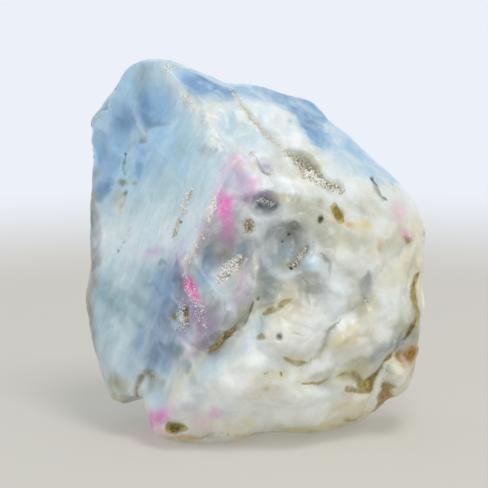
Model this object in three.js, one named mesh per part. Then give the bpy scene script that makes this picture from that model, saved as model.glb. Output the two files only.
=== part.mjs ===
// A rough piece of blue opal, in millimetres, +Z up, resting on its flat broken underside.
// Its left side and its top are blue fracture faces. Its front and right side are a white folded rind,
// with a deep hollow, a smooth lobe under it, creases and small pits.
import * as THREE from "three";
import { mergeVertices } from "three/addons/utils/BufferGeometryUtils.js";

// The stone is laid out in its front view, from the middle of the stone: x to the right, y up and z
// towards the eye.
const lookDown = 12; // degrees by which the front view looks down on the stone
const eyeDistance = 600; // from the eye to the middle of the stone
const frontDepth = 18; // from the stone's edge line to its front
const backDepth = 19; // and to its back
const frontFullness = 2.5; // of the section: 2 is an ellipse, and more is boxier
const backFullness = 4;
const underside = 26.75; // from the middle down to the flat underside
const detail = 21; // divisions of each edge of the starting icosahedron
const weldDistance = 1e-5; // within which its corners are merged, on a ball of radius 1
const frontShare = 0.5; // how far the mesh is drawn towards the front, where the relief is
const chipRounding = 0.35;
const foldEdge = 1.3; // half the width over which a fold steps up
const reliefFade = 0.25; // how squarely a point looks to the front where the relief is whole
const swellFade = { from: -0.1, to: 0.4 }; // the same for the swells, which are faint at the edge line
const floorFade = { relief: 1.5, swells: 3 }; // height over the underside where each is whole
const colour = 0xb9d3e6;

const radians = THREE.MathUtils.degToRad;
const smoothstep = THREE.MathUtils.smoothstep;
const down = [0, -Math.cos(radians(lookDown)), -Math.sin(radians(lookDown))];

// The stone's edge line, clockwise from the top left: each corner's place to the right, up and to the eye.
const outline = [
  [-17.4, 28.6, -2], [-14.4, 28.8, -3], [-12.2, 28.4, -3], [-5.6, 25.7, -4], [-3.8, 24.8, -4],
  [-2.1, 25.3, -5], [5.1, 23.5, -6], [7.8, 22.9, -6], [8.9, 22.4, -6], [10.2, 20.9, -6],
  [11.3, 19.3, -5], [14.8, 16.8, -4], [17.8, 13.7, -4], [20.5, 11.4, -3], [23.9, 7.4, -3],
  [25, 4.9, -3], [25.7, 2, -4], [25.7, -2.3, -4],
  [25.2, -11.6, -4], [24.6, -16.2, -4], [23.2, -20.6, -5], [18.5, -23.7, -5], [16.8, -25.4, -4],
  [13.1, -26.7, -2.5], [8.9, -27.5, 1], [3.8, -27.2, 0], [0, -27.5, 1], [-2.7, -28.5, 5.5],
  [-6.5, -29, 8], [-10.2, -29, 8], [-13.5, -28.1, 7], [-15.4, -26.9, 6.5], [-16.5, -23, 5],
  [-17, -20.5, 2], [-17.7, -22, -1], [-19.6, -23.2, -3], [-21.9, -22.2, -4], [-24.2, -15.3, -5],
  [-25.7, -7.4, -6], [-24.8, -3.2, -6], [-24.8, 3.9, -6], [-25.2, 12.8, -6], [-24.7, 16.2, -6],
  [-24.8, 20, -5], [-24.2, 21, -5], [-22.8, 22.1, -4], [-21.9, 23.8, -4], [-20.9, 24.4, -3],
  [-20.4, 26.1, -3], [-19.5, 27.4, -2],
];

// Flat fracture faces: the way each one faces, its distance from the middle, and how far its edges
// are rounded.
const faces = [
  { name: "left", facing: [-0.66, 0.1, 0.75], distance: 15.4, rounding: 2 },
  { name: "front", facing: [0.12, 0.02, 0.99], distance: 15.2, rounding: 3 },
  { name: "right front", facing: [0.62, 0.1, 0.78], distance: 19.2, rounding: 5 },
  { name: "upper front", facing: [0.1, 0.52, 0.85], distance: 17.4, rounding: 3 },
  { name: "top right", facing: [0.5, 0.72, 0.48], distance: 19.8, rounding: 1.5 },
  { name: "lip", facing: [-0.05, -0.5, 0.86], distance: 23, rounding: 4 },
  { name: "back", facing: [0.18, 0.1, -0.98], distance: 17.5, rounding: 1.5 },
  { name: "back left", facing: [-0.58, 0.1, -0.81], distance: 21.5, rounding: 1.2 },
  { name: "back top", facing: [-0.12, 0.6, -0.79], distance: 22, rounding: 1.5 },
  { name: "back right", facing: [0.72, -0.1, -0.69], distance: 23.2, rounding: 2 },
  { name: "back bottom", facing: [-0.25, -0.5, -0.83], distance: 25, rounding: 2 },
  { name: "underside", facing: down, distance: underside, rounding: 0.6 },
];

// Shell-shaped chips broken out of the faces: where the middle of each lies, the way it faces, and its
// width and depth.
const chips = [
  { name: "top left", towards: [-14.3, 21.6, 5], facing: [-0.5, -0.05, 0.86], width: 6.8, depth: 1.2 },
  { name: "left shoulder", towards: [-20, 19.2, 0.5], facing: [-0.6, 0.05, 0.8], width: 4.8, depth: 1.2 },
  { name: "left flank", towards: [-22, 14, -0.6], facing: [-0.75, -0.1, 0.65], width: 6, depth: 1.2 },
  { name: "blue scoop", towards: [-14.6, -8, 6], facing: [-0.6, 0, 0.8], width: 12, depth: 0.9 },
  { name: "high right", towards: [8, 21, 2], facing: [0.4, 0.8, 0.4], width: 9, depth: 0.9 },
  { name: "back shoulder", towards: [10, 14, -14], facing: [0.4, 0.4, -0.8], width: 17, depth: 1.8 },
  { name: "back hollow", towards: [-8, -4, -17], facing: [-0.1, 0, -1], width: 20, depth: 1.6 },
  { name: "back flank", towards: [-20, -10, -13], facing: [-0.8, -0.2, -0.55], width: 18, depth: 3.2 },
  { name: "back left edge", towards: [-20, 5, -13], facing: [-0.75, 0.15, -0.65], width: 13, depth: 1.7 },
  { name: "back cheek", towards: [5, -15, -16], facing: [0.2, -0.35, -0.9], width: 15, depth: 1.6 },
  { name: "back dent", towards: [-3, 9, -17], facing: [0, 0.25, -0.95], width: 12, depth: 1.3 },
  { name: "low back", towards: [-9, -21, -13], facing: [-0.3, -0.6, -0.75], width: 11, depth: 1.3 },
  { name: "right back", towards: [19, 3, -13], facing: [0.75, 0.15, -0.65], width: 13, depth: 1.5 },
  { name: "low right back", towards: [17, -18, -12], facing: [0.65, -0.45, -0.6], width: 11, depth: 1.4 },
  { name: "top edge", towards: [-1, 21, -12], facing: [0.1, 0.85, -0.5], width: 10, depth: 1.1 },
  { name: "right flank", towards: [22, -8, -12], facing: [0.9, -0.1, -0.4], width: 15, depth: 1.4 },
  { name: "back crown", towards: [-10, 20, -12], facing: [-0.3, 0.7, -0.6], width: 13, depth: 0.9 },
];

// Relief of the front, in the plane of the front view. A dish is an oval, turned by degrees. A groove
// and a fold follow a line, and a fold raises what lies on the left of its line. A negative depth
// stands out.
const dishes = [
  { name: "hollow", at: [-4.4, -1], size: [5.4, 7], turn: -8, depth: 4.2 },
  { name: "hollow's throat", at: [-3, 7.2], size: [3, 5.5], turn: -6, depth: 1.6 },
  { name: "lobe", at: [-4.2, -10.4], size: [5.4, 4.8], turn: 35, depth: -2.1 },
  { name: "round pit", at: [1.5, 6.8], size: [3, 2.3], turn: 0, depth: 2.6 },
  { name: "shallow bowl", at: [5.4, 1], size: [3.6, 4.4], turn: -10, depth: 1.3 },
  { name: "bowl's corner", at: [5.7, 2.2], size: [1.8, 1.6], turn: 20, depth: 0.8 },
  { name: "sugary trough", at: [7.6, 12.6], size: [4.4, 1.9], turn: -42, depth: 2.1 },
  { name: "trough's end", at: [11.8, 9.4], size: [3, 1.6], turn: -38, depth: 1.2 },
  { name: "knuckle", at: [9, -3.3], size: [3.2, 4], turn: 0, depth: -0.9 },
  { name: "cheek", at: [15, -1.4], size: [5, 5.5], turn: 0, depth: -0.9 },
  { name: "long dent", at: [16.8, -6], size: [1.5, 3.4], turn: 5, depth: 1.1 },
  { name: "right roll", at: [20.8, -7.5], size: [3, 8], turn: 0, depth: -1 },
  { name: "white fold", at: [5.6, -12], size: [6.4, 3.6], turn: 20, depth: -1.2 },
  { name: "cream fold", at: [13.6, -12.6], size: [6, 3.2], turn: 34, depth: -1.3 },
  { name: "lip's belly", at: [3, -20.6], size: [14, 5.2], turn: 6, depth: -1.8 },
  { name: "lower tip", at: [-12.6, -23.5], size: [4, 4.5], turn: 0, depth: -1.6 },
  { name: "tip's hole", at: [-12, -26.4], size: [1.7, 1.1], turn: -5, depth: 1.6 },
  { name: "corner lump", at: [21.4, -18.6], size: [2.4, 3.4], turn: -15, depth: -1.3 },
  { name: "brown slot", at: [19.2, -21.4], size: [1.8, 3], turn: -18, depth: 1.9 },
  { name: "brown pocket", at: [22.6, -16], size: [2.1, 1.7], turn: 20, depth: 1.4 },
  { name: "ochre pit", at: [12.3, 5.2], size: [1.1, 1.6], turn: 15, depth: 1 },
  { name: "high pit", at: [18, 9.8], size: [1, 2], turn: 35, depth: 1 },
];
const grooves = [
  { name: "under the lobe", width: 2.8, depth: 2.1,
    line: [[0.4, -8], [-1, -11], [-3, -13.2], [-6, -15], [-7.8, -15.8]] },
  { name: "under the blue blade", width: 2.4, depth: 1.2,
    line: [[-17.6, -20], [-15.8, -18.9], [-13.6, -20.2], [-11.8, -19.8], [-10.6, -18.6]] },
  { name: "left of the lobe", width: 2, depth: 1.1,
    line: [[-10.4, -9.4], [-11, -12], [-10.2, -14.2]] },
  { name: "hollow's right rim", width: 1.8, depth: -0.7,
    line: [[1.4, 3.4], [0.5, 0], [0.8, -4], [0.3, -7.4]] },
  { name: "fold", width: 2, depth: 1.1,
    line: [[5.7, -16.4], [6.8, -16.8], [8.6, -16.2], [10.2, -14.5], [11, -12.4], [13.6, -10.4],
      [16.8, -8.4]] },
  { name: "lip's crease", width: 2.2, depth: 1.4,
    line: [[7.5, -20.1], [10.5, -19.8], [15.4, -18.2], [17.6, -19.6], [19.6, -18], [21.6, -15.3],
      [23, -13.6]] },
  { name: "right crease", width: 2, depth: 1.5,
    line: [[24.3, -4], [23.7, -6.4], [24.1, -9.3], [23.7, -11.8], [22.2, -13.7]] },
];
const folds = [
  { name: "crack", rise: 1.3, run: 7, line: [[-3.5, 24.6], [-1.8, 22.4], [1, 18.8], [4.5, 15], [10, 10.4]] },
  { name: "broken crest", rise: 1.2, run: 5,
    line: [[-9, -14], [-8.4, -9.5], [-10, -4], [-9.6, -1], [-7.6, 3], [-6.2, 6.5], [-4, 13]] },
  { name: "lip's edge", rise: 1, run: 6, line: [[-3, -14.4], [-8.8, -16.8], [-12.8, -21], [-13.4, -24]] },
];

// Gentle swells all over, each of them two crossing waves: their height, and how many radians each
// wave turns in a millimetre along x, y and z.
const swells = [
  { height: 0.35,
    waves: [{ turn: [0.31, 0.17, 0.22], phase: 0.4 }, { turn: [-0.12, 0.36, 0.15], phase: 1.7 }] },
  { height: 0.21,
    waves: [{ turn: [0.52, -0.38, 0.44], phase: 2.9 }, { turn: [0.2, 0.55, -0.47], phase: 0.8 }] },
];

// The same for the floors of the chips, which makes their rims ragged.
const chipSwells = [
  { height: 0.4,
    waves: [{ turn: [0.86, 0.5, 0.6], phase: 0.6 }, { turn: [-0.5, 1, 0.55], phase: 2.1 }] },
  { height: 0.2,
    waves: [{ turn: [1.4, -0.7, 0.9], phase: 1.2 }, { turn: [0.6, 1.5, -0.8], phase: 0.3 }] },
];

// Distance from the middle to the edge line and the edge line's depth, at an angle of the front view.
function edgeAt(angle) {
  const way = new THREE.Vector2(Math.cos(angle), Math.sin(angle));
  for (let i = 0; i < outline.length; i++) {
    const a = new THREE.Vector3(...outline[i]);
    const b = new THREE.Vector3(...outline[(i + 1) % outline.length]);
    const sideA = way.cross(a);
    const sideB = way.cross(b);
    if (sideA >= 0 && sideB < 0) {
      const corner = a.lerp(b, sideA / (sideA - sideB));
      const radius = way.x * corner.x + way.y * corner.y;
      if (radius > 0) return { radius, depth: corner.z };
    }
  }
  throw new Error("the outline doesn't go round the middle");
}

// The smaller of two distances, rounded off where they are nearly alike.
function roundedMin(a, b, rounding) {
  const near = Math.max(rounding - Math.abs(a - b), 0) / rounding;
  return Math.min(a, b) - (near * near * rounding) / 4;
}

// How far the faceted stone reaches along a direction, and how squarely it looks to the front, which
// is 0 at the edge line.
function body(way) {
  const across = Math.hypot(way.x, way.y);
  const edge = edgeAt(Math.atan2(way.y, way.x));
  const forward = way.z - (edge.depth / edge.radius) * across;
  const depth = forward > 0 ? frontDepth : backDepth;
  const fullness = forward > 0 ? frontFullness : backFullness;
  const section = (across / edge.radius) ** fullness + (Math.abs(forward) / depth) ** fullness;
  let distance = section ** (-1 / fullness);
  for (const face of faces) {
    const slope = way.dot(new THREE.Vector3(...face.facing).normalize());
    if (slope > 0) distance = roundedMin(distance, face.distance / slope, face.rounding);
  }
  return { distance, forward };
}

// Each chip is a bite out of the body by a ball.
const bites = chips.map((chip) => {
  const radius = ((chip.width / 2) ** 2 + chip.depth ** 2) / (2 * chip.depth);
  const way = new THREE.Vector3(...chip.towards).normalize();
  const facing = new THREE.Vector3(...chip.facing).normalize();
  const centre = way.clone().multiplyScalar(body(way).distance).addScaledVector(facing, radius - chip.depth);
  return { centre, radius };
});

// Distance along a direction after the chips.
function chipped(way, distance) {
  const uneven = swell(way.clone().multiplyScalar(distance), chipSwells);
  for (const bite of bites) {
    const along = way.dot(bite.centre);
    const inside = along ** 2 - bite.centre.lengthSq() + (bite.radius + uneven) ** 2;
    if (inside > 0 && along > 0) distance = roundedMin(distance, along - Math.sqrt(inside), chipRounding);
  }
  return distance;
}

// Distance from a point to a line of corners, positive on the left of the line and negative on its right.
function fromLine(point, line) {
  let nearest = Infinity;
  for (let i = 1; i < line.length; i++) {
    const start = new THREE.Vector2(...line[i - 1]);
    const run = new THREE.Vector2(...line[i]).sub(start);
    const offset = point.clone().sub(start);
    const share = THREE.MathUtils.clamp(offset.dot(run) / run.lengthSq(), 0, 1);
    const distance = offset.clone().sub(run.clone().multiplyScalar(share)).length();
    if (distance < Math.abs(nearest)) nearest = run.cross(offset) < 0 ? -distance : distance;
  }
  return nearest;
}

// 1 in the middle of a mark and 0 from its rim outwards.
const bowl = (share) => (share < 1 ? (1 - share * share) ** 2 : 0);

// Depth of the front relief at a point of the front view.
function relief(point) {
  const middle = new THREE.Vector2();
  let depth = 0;
  for (const dish of dishes) {
    const offset = point.clone().sub(new THREE.Vector2(...dish.at));
    offset.rotateAround(middle, -radians(dish.turn));
    depth += dish.depth * bowl(Math.hypot(offset.x / dish.size[0], offset.y / dish.size[1]));
  }
  for (const groove of grooves) {
    depth += groove.depth * bowl(Math.abs(fromLine(point, groove.line)) / groove.width);
  }
  for (const fold of folds) {
    const distance = fromLine(point, fold.line);
    depth -= fold.rise * bowl(Math.abs(distance) / fold.run) * smoothstep(distance, -foldEdge, foldEdge);
  }
  return depth;
}

// Height at a point of the stone, as the given swells make it.
function swell(p, swellings) {
  const height = ({ turn, phase }) => Math.sin(p.dot(new THREE.Vector3(...turn)) + phase);
  let rise = 0;
  for (const swelling of swellings) {
    const [first, second] = swelling.waves.map(height);
    rise += swelling.height * first * second;
  }
  return rise;
}

function stoneGeometry() {
  const ball = new THREE.IcosahedronGeometry(1, detail);
  ball.deleteAttribute("normal");
  ball.deleteAttribute("uv");
  const geometry = mergeVertices(ball, weldDistance);
  const positions = geometry.getAttribute("position");
  const eye = new THREE.Vector3(0, 0, eyeDistance);
  const floor = new THREE.Vector3(...down);
  const overFloor = (p) => underside - p.dot(floor);
  for (let i = 0; i < positions.count; i++) {
    const way = new THREE.Vector3().fromBufferAttribute(positions, i);
    way.z += frontShare;
    way.normalize();
    const { distance, forward } = body(way);
    const p = way.clone().multiplyScalar(chipped(way, distance));
    const swelled = smoothstep(Math.abs(forward), swellFade.from, swellFade.to);
    p.addScaledVector(way, swell(p, swells) * swelled * smoothstep(overFloor(p), 0, floorFade.swells));
    const carved = smoothstep(forward, 0, reliefFade);
    const sight = p.clone().sub(eye).normalize();
    const seen = new THREE.Vector2(p.x, p.y).multiplyScalar(eyeDistance / (eyeDistance - p.z));
    p.addScaledVector(sight, relief(seen) * carved * smoothstep(overFloor(p), 0, floorFade.relief));
    positions.setXYZ(i, p.x, p.y, p.z);
  }
  geometry.rotateX(Math.PI / 2 - radians(lookDown));
  return geometry;
}

const stone = new THREE.Mesh(
  stoneGeometry(),
  new THREE.MeshStandardMaterial({ color: colour, roughness: 0.3, metalness: 0 }),
);
stone.name = "opal";

// The origin is under the middle of the stone, on the surface that it rests on.
const box = new THREE.Box3().setFromObject(stone);
const middle = box.getCenter(new THREE.Vector3());
stone.position.set(-middle.x, -middle.y, -box.min.z);

const part = new THREE.Group();
part.add(stone);
export default part;
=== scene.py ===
import math

import bmesh
import bpy
import numpy as np
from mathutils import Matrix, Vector, noise
from mathutils.bvhtree import BVHTree


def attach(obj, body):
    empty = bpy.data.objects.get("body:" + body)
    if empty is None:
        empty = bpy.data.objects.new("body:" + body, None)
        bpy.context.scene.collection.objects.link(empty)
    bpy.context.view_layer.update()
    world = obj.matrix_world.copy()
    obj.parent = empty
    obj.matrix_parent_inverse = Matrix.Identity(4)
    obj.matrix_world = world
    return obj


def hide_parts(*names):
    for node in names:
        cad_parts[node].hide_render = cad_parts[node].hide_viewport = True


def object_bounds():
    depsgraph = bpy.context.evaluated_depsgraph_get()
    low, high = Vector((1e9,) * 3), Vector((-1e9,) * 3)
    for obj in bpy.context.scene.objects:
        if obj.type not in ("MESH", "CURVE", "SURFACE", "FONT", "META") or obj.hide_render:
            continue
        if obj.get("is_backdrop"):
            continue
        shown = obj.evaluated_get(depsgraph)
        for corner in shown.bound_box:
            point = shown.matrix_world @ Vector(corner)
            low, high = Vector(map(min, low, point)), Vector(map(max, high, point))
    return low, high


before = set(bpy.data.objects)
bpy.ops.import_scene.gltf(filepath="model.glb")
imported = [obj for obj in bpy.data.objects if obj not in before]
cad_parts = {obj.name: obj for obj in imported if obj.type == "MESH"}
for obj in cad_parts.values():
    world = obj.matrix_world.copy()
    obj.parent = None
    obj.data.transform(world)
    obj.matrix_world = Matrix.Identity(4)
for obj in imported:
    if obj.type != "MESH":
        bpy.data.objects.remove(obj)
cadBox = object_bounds()
mm = 0.001

# The front view. Marks on the stone are placed in it, in pixels from its top left corner.
view = {
    "lookDown": 12,  # degrees
    "distance": 600,  # mm from the eye to the middle of the stone
    "pixelSize": 0.15,  # mm at the middle of the stone
    "pixels": 488,
    "middlePixel": (255, 250),  # where the middle of the stone is seen
    "stoneMiddle": (-0.04, 0.19, 26.75),  # mm
    "sensor": 36,  # mm
    "nearest": 10, "farthest": 20000,  # mm from the camera that it shows
}
lookDown = math.radians(view["lookDown"])
toTop = (0, math.sin(lookDown), math.cos(lookDown))
toEye = np.array((0, -math.cos(lookDown), math.sin(lookDown)))
frontAxes = np.array(((1, 0, 0), toTop, toEye))
stoneMiddle = np.array(view["stoneMiddle"])


def toFront(points):  # metres in the frame to mm in the front view: right, up and towards the eye
    return (points / mm - stoneMiddle) @ frontAxes.T


def fromFront(points):
    return (points @ frontAxes + stoneMiddle) * mm


def pixelsOf(front):
    scale = view["distance"] / (view["distance"] - front[:, 2]) / view["pixelSize"]
    across = view["middlePixel"][0] + front[:, 0] * scale
    down = view["middlePixel"][1] - front[:, 1] * scale
    return np.stack((across, down), axis=1)


# Shaping helpers

def fade(value, start, end):  # 0 at start, 1 at end and smooth between them
    share = np.clip((value - start) / (end - start), 0, 1)
    return share * share * (3 - 2 * share)


def cloud(points, size, octaves=3, stretch=(1, 1, 1), shift=0):  # soft noise around 0, size in mm
    scaled = points / size / np.array(stretch) + shift
    return np.array([noise.fractal(point, 1, 2, octaves) for point in scaled.tolist()])


def roundedLine(points, steps=5):  # a smooth line through the points
    points = np.array(points, float)
    if len(points) < 3:
        return points
    ends = np.vstack((2 * points[0] - points[1], points, 2 * points[-1] - points[-2]))
    share = (np.arange(steps) / steps)[:, None]
    pieces = []
    for a, b, c, d in zip(ends, ends[1:], ends[2:], ends[3:]):
        bend = (2 * a - 5 * b + 4 * c - d) * share ** 2 + (3 * b - a - 3 * c + d) * share ** 3
        pieces.append((2 * b + (c - a) * share + bend) / 2)
    return np.vstack(pieces + [points[-1:]])


def besideLine(at, line):  # distance to a line, 1 on its right and -1 on its left, and the share along it
    distance = np.full(len(at), np.inf)
    side = np.ones(len(at))
    along = np.zeros(len(at))
    for i in range(len(line) - 1):
        run = line[i + 1] - line[i]
        offset = at - line[i]
        share = np.clip(offset @ run / max(run @ run, 1e-9), 0, 1)
        gap = np.hypot(*(offset - share[:, None] * run).T)
        closer = gap < distance
        distance[closer] = gap[closer]
        turn = run[0] * offset[:, 1] - run[1] * offset[:, 0]
        side[closer] = np.where(turn[closer] > 0, 1, -1)
        along[closer] = (i + share[closer]) / (len(line) - 1)
    return distance, side, along


def near(line, margin, work):  # works only on the points near the line
    def mark(at):
        result = np.zeros(len(at))
        close = np.all((at > line.min(0) - margin) & (at < line.max(0) + margin), axis=1)
        if close.any():
            result[close] = work(at[close])
        return result
    return mark


# Marks: each says of places in the front view how far they belong to it, from 0 to 1. Sizes are in
# pixels, and soft is the share of a mark's half width over which it fades out, or for an area the pixels.

def oval(x, y, across, up, turn=0, soft=0.8):
    lean = math.radians(turn)
    ways = np.array(((math.cos(lean), math.sin(lean)), (-math.sin(lean), math.cos(lean))))
    centre = np.array(((x, y),), float)

    def work(at):
        offset = (at - centre) @ ways.T
        return fade(np.hypot(offset[:, 0] / across, offset[:, 1] / up), 1, 1 - soft)
    return near(centre, max(across, up) + 1, work)


def stroke(width, *points, soft=0.9, taper=0.7):
    line = roundedLine(points)

    def work(at):
        distance, _, along = besideLine(at, line)
        half = width / 2 * (1 - taper * np.abs(2 * along - 1) ** 3)
        return fade(distance / half, 1, 1 - soft)
    return near(line, width / 2 + 1, work)


def area(*corners, soft=6):
    line = roundedLine(corners + corners[:1])

    def work(at):
        distance, _, _ = besideLine(at, line)
        inside = np.zeros(len(at), bool)
        for a, b in zip(line, line[1:]):
            if a[1] != b[1]:
                crossing = a[0] + (at[:, 1] - a[1]) * (b[0] - a[0]) / (b[1] - a[1])
                inside ^= ((a[1] > at[:, 1]) != (b[1] > at[:, 1])) & (at[:, 0] < crossing)
        return fade(np.where(inside, distance, -distance), -soft, soft)
    return near(line, soft + 1, work)


def ledge(run, *points, edge=3):  # what lies on the right of the line as it is followed
    line = roundedLine(points)

    def work(at):
        distance, side, along = besideLine(at, line)
        ends = 1 - np.abs(2 * along - 1) ** 4
        return ends * fade(distance, run, 0) * fade(distance * side, -edge / 2, edge / 2)
    return near(line, run + 1, work)


# Lines and outlines that the marks follow, in pixels
ridgeLine = ((160, 68), (162, 79), (176, 89), (190, 103), (204, 117), (213, 131), (226, 148))
crackLine = ((229, 91), (239, 101), (249, 116), (257, 124), (266, 133), (272, 140), (284, 149))
crestLine = ((235, 159), (223, 184), (214, 208), (207, 225), (199, 240), (192, 253), (187, 266), (187, 276))
lobeLine = ((253, 303), (248, 314), (240, 324), (231, 332), (221, 342), (209, 349), (199, 361))
rimLine = ((251, 240), (255, 255), (257, 272), (255, 290), (251, 304), (244, 314))
foldLine = ((288, 357), (295, 361), (303, 361), (312, 359), (319, 351), (324, 343), (330, 329), (339, 321))
bulgeLine = ((339, 321), (350, 315), (362, 311), (375, 309))
lipLine = ((302, 382), (310, 383), (316, 383), (325, 381), (334, 377), (341, 374), (349, 373), (358, 369))
webLine = ((371, 385), (377, 371), (383, 359), (393, 351), (401, 343))
webFoot = ((344, 389), (353, 390), (362, 391), (371, 390))
rightLine = ((418, 275), (414, 281), (413, 289), (414, 301), (415, 311), (415, 319), (413, 327), (408, 335),
             (401, 340))
bladeLine = ((138, 397), (138, 386), (141, 378), (147, 374), (156, 378), (165, 385))
bladeEdge = ((150, 330), (160, 346), (168, 360), (172, 376))
troughLine = ((284, 151), (292, 157), (301, 165), (311, 173), (320, 180), (331, 186), (343, 191))
bowlRim = ((273, 262), (281, 264), (289, 265), (295, 262), (301, 255), (306, 247), (308, 239), (305, 229))
pitLine = ((371, 176), (373, 185), (378, 192), (385, 199))
seamLine = ((126, 153), (124, 160), (122, 168), (125, 176))
footLine = ((187, 438), (200, 438), (213, 436), (226, 433))
bowlCrack = ((302, 277), (307, 283), (308, 297), (311, 308))
foldCrack = ((290, 333), (297, 335), (306, 335))
lipCrack = ((216, 378), (224, 373))
web = ((351, 371), (358, 374), (364, 381), (369, 378), (374, 370), (381, 360), (388, 353), (390, 356),
       (383, 366), (378, 375), (373, 385), (371, 391), (362, 391), (358, 384))
orangePit = ((388, 358), (395, 352), (404, 351), (411, 347), (420, 346), (416, 358), (409, 369), (403, 369),
             (397, 361))
brownSlot = ((386, 370), (390, 378), (393, 388), (391, 398), (387, 406), (380, 412), (375, 408), (375, 399),
             (379, 390), (383, 380))
blueFace = ((146, 57), (165, 66), (178, 88), (192, 104), (206, 117), (214, 131), (226, 148), (233, 160),
            (222, 185), (212, 208), (205, 226), (192, 252), (187, 275), (192, 300), (199, 320), (191, 345),
            (183, 352), (171, 380), (160, 378), (146, 374), (137, 398), (120, 408), (100, 400), (88, 350),
            (76, 300), (76, 250), (76, 160), (82, 120), (96, 90), (112, 66), (130, 54))
topBand = ((150, 50), (200, 58), (232, 76), (256, 74), (292, 84), (322, 90), (350, 114), (376, 150),
           (396, 176), (380, 182), (352, 169), (330, 154), (308, 140), (296, 120), (290, 108), (268, 102),
           (246, 98), (222, 98), (204, 97), (190, 88), (168, 70))

stone = {
    "gridCells": 128,  # along each side of the six-sided grid
    "frontPull": 0.4,  # 0 to 1, how much finer the grid is in front
    "keptEdges": (12, 40),  # degrees between faces from which an edge of the solid stays, and stays sharp
    # smoothing of the shape and of its colours: rounds, the cell stretch at which it starts and is full,
    # its strength, and how far towards the eye a point lies, up to 1, where it starts and is full
    "evening": {"rounds": 12, "stretch": (0.95, 1.6), "share": 0.5, "front": (0.3, 0.6)},
    "blending": {"rounds": 4, "stretch": (1.4, 2.4), "share": 0.7},
    # how squarely a point faces the eye, from -1 to 1, where the marks start and are full
    "raised": (0.05, 0.3), "painted": (-0.3, 0),
    "wobble": (2.2, 1.1),  # size in mm and shift in pixels of the wandering of the marks' edges
    "patchy": (3.4, 1),  # size in mm and depth of the patches that break up the paint
    "ragged": (1.5, 1.3),  # size in mm and shift in pixels of the paint's edges
    "rindBulges": ((6.5, 0.42), (2.4, 0.08)),  # size and height in mm of the creased rind's bulges
    "rindBend": (6, 1.6),  # size in mm and shift in mm by which the creases wind
    "rindOnBlue": 0.25,  # the share of the bulges that the blue faces have
    "streaks": (0.8, 0.08),  # size and height in mm on the blue faces
    "streakStretch": (1, 9, 3), "streakLean": 20,  # how much longer each way, and degrees
    "grain": (0.7, 0.025),  # size and height in mm
    "footFades": (2, 3),  # mm over the underside at which the marks and the bulges are full
    # where the back is blue: size in mm and depth of the clouds, the mm to the left and up that count as
    # much as a cloud, and where it starts and is full
    "blueClouds": {"size": 15, "depth": 1.1, "left": 34, "up": 40, "edge": (-0.25, 0.35)},
    # tints of the rind, one over another: strength, and where on their clouds they start and are full
    "rindTints": {"butter": (0.34, 0, 0.4), "moss": (0.26, 0.05, 0.5), "milk": (0.7, 0, -0.4)},
    # blues of the back: strength, and what the patches and the chips' tones add to it
    "backBlues": {"sky": (0.7, 0.6, 0), "deep": (0.2, 0.6, 0.7)},
    "backVeins": (0.4, 0.06),  # strength, and width as a share of a crease
    # stains in the seams of the back's rind: width as a share of a crease, where on their clouds they
    # start and are full, and strength
    "seamStains": {"ochre": (0.045, -0.05, 0.25, 1), "orange": (0.045, 0.25, 0.4, 1),
                   "brown": (0.025, 0, 0.3, 0.6)},
    "stainAndShadeBreakup": (0.8, 0.2),  # the usual and the least strength of the front's stains and painted shade, broken up in patches
    # size and height in mm of the unevenness of the chips, and the depth from which it is full
    "chipWander": (3, 0.28, 0.5),
    # chips broken out of the blue faces: pixel, facing (right, up, to the eye), width and depth in mm
    "chips": (
        ((155, 106), (-0.3, 0.1, 1), 5, 0.2), ((123, 124), (-0.62, -0.2, 0.76), 4.6, 0.45),
        ((101, 152), (-0.8, 0.1, 0.6), 5.4, 0.6), ((102, 188), (-0.75, -0.1, 0.66), 3.4, 0.5),
        ((112, 108), (-0.85, 0, 0.5), 4, 0.35), ((137, 80), (-0.75, 0.35, 0.6), 5.2, 0.5),
        ((205, 82), (0.1, 0.75, 0.65), 7.5, 0.45), ((312, 112), (0.45, 0.75, 0.5), 5.2, 0.5),
        ((284, 96), (0.25, 0.85, 0.45), 6, 0.35), ((352, 146), (0.6, 0.65, 0.45), 7, 0.35),
        ((158, 358), (-0.5, -0.1, 0.86), 5, 0.45), ((172, 292), (-0.3, 0, 0.95), 6.5, 0.4),
        ((118, 300), (-0.75, 0, 0.66), 7, 0.35), ((92, 230), (-0.9, 0, 0.4), 7, 0.5),
    ),
    # more on the back: their widths in mm, their depth as a share of the width, how much their facing strays,
    # and the mm over the underside where they start; one set at a slant to what is round it cuts deeper
    "backChips": {"seed": 11, "count": 48, "widest": 10, "narrowest": 2.5, "depth": 0.07, "tilt": 0.16,
                  "lowest": 4},
}

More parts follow.
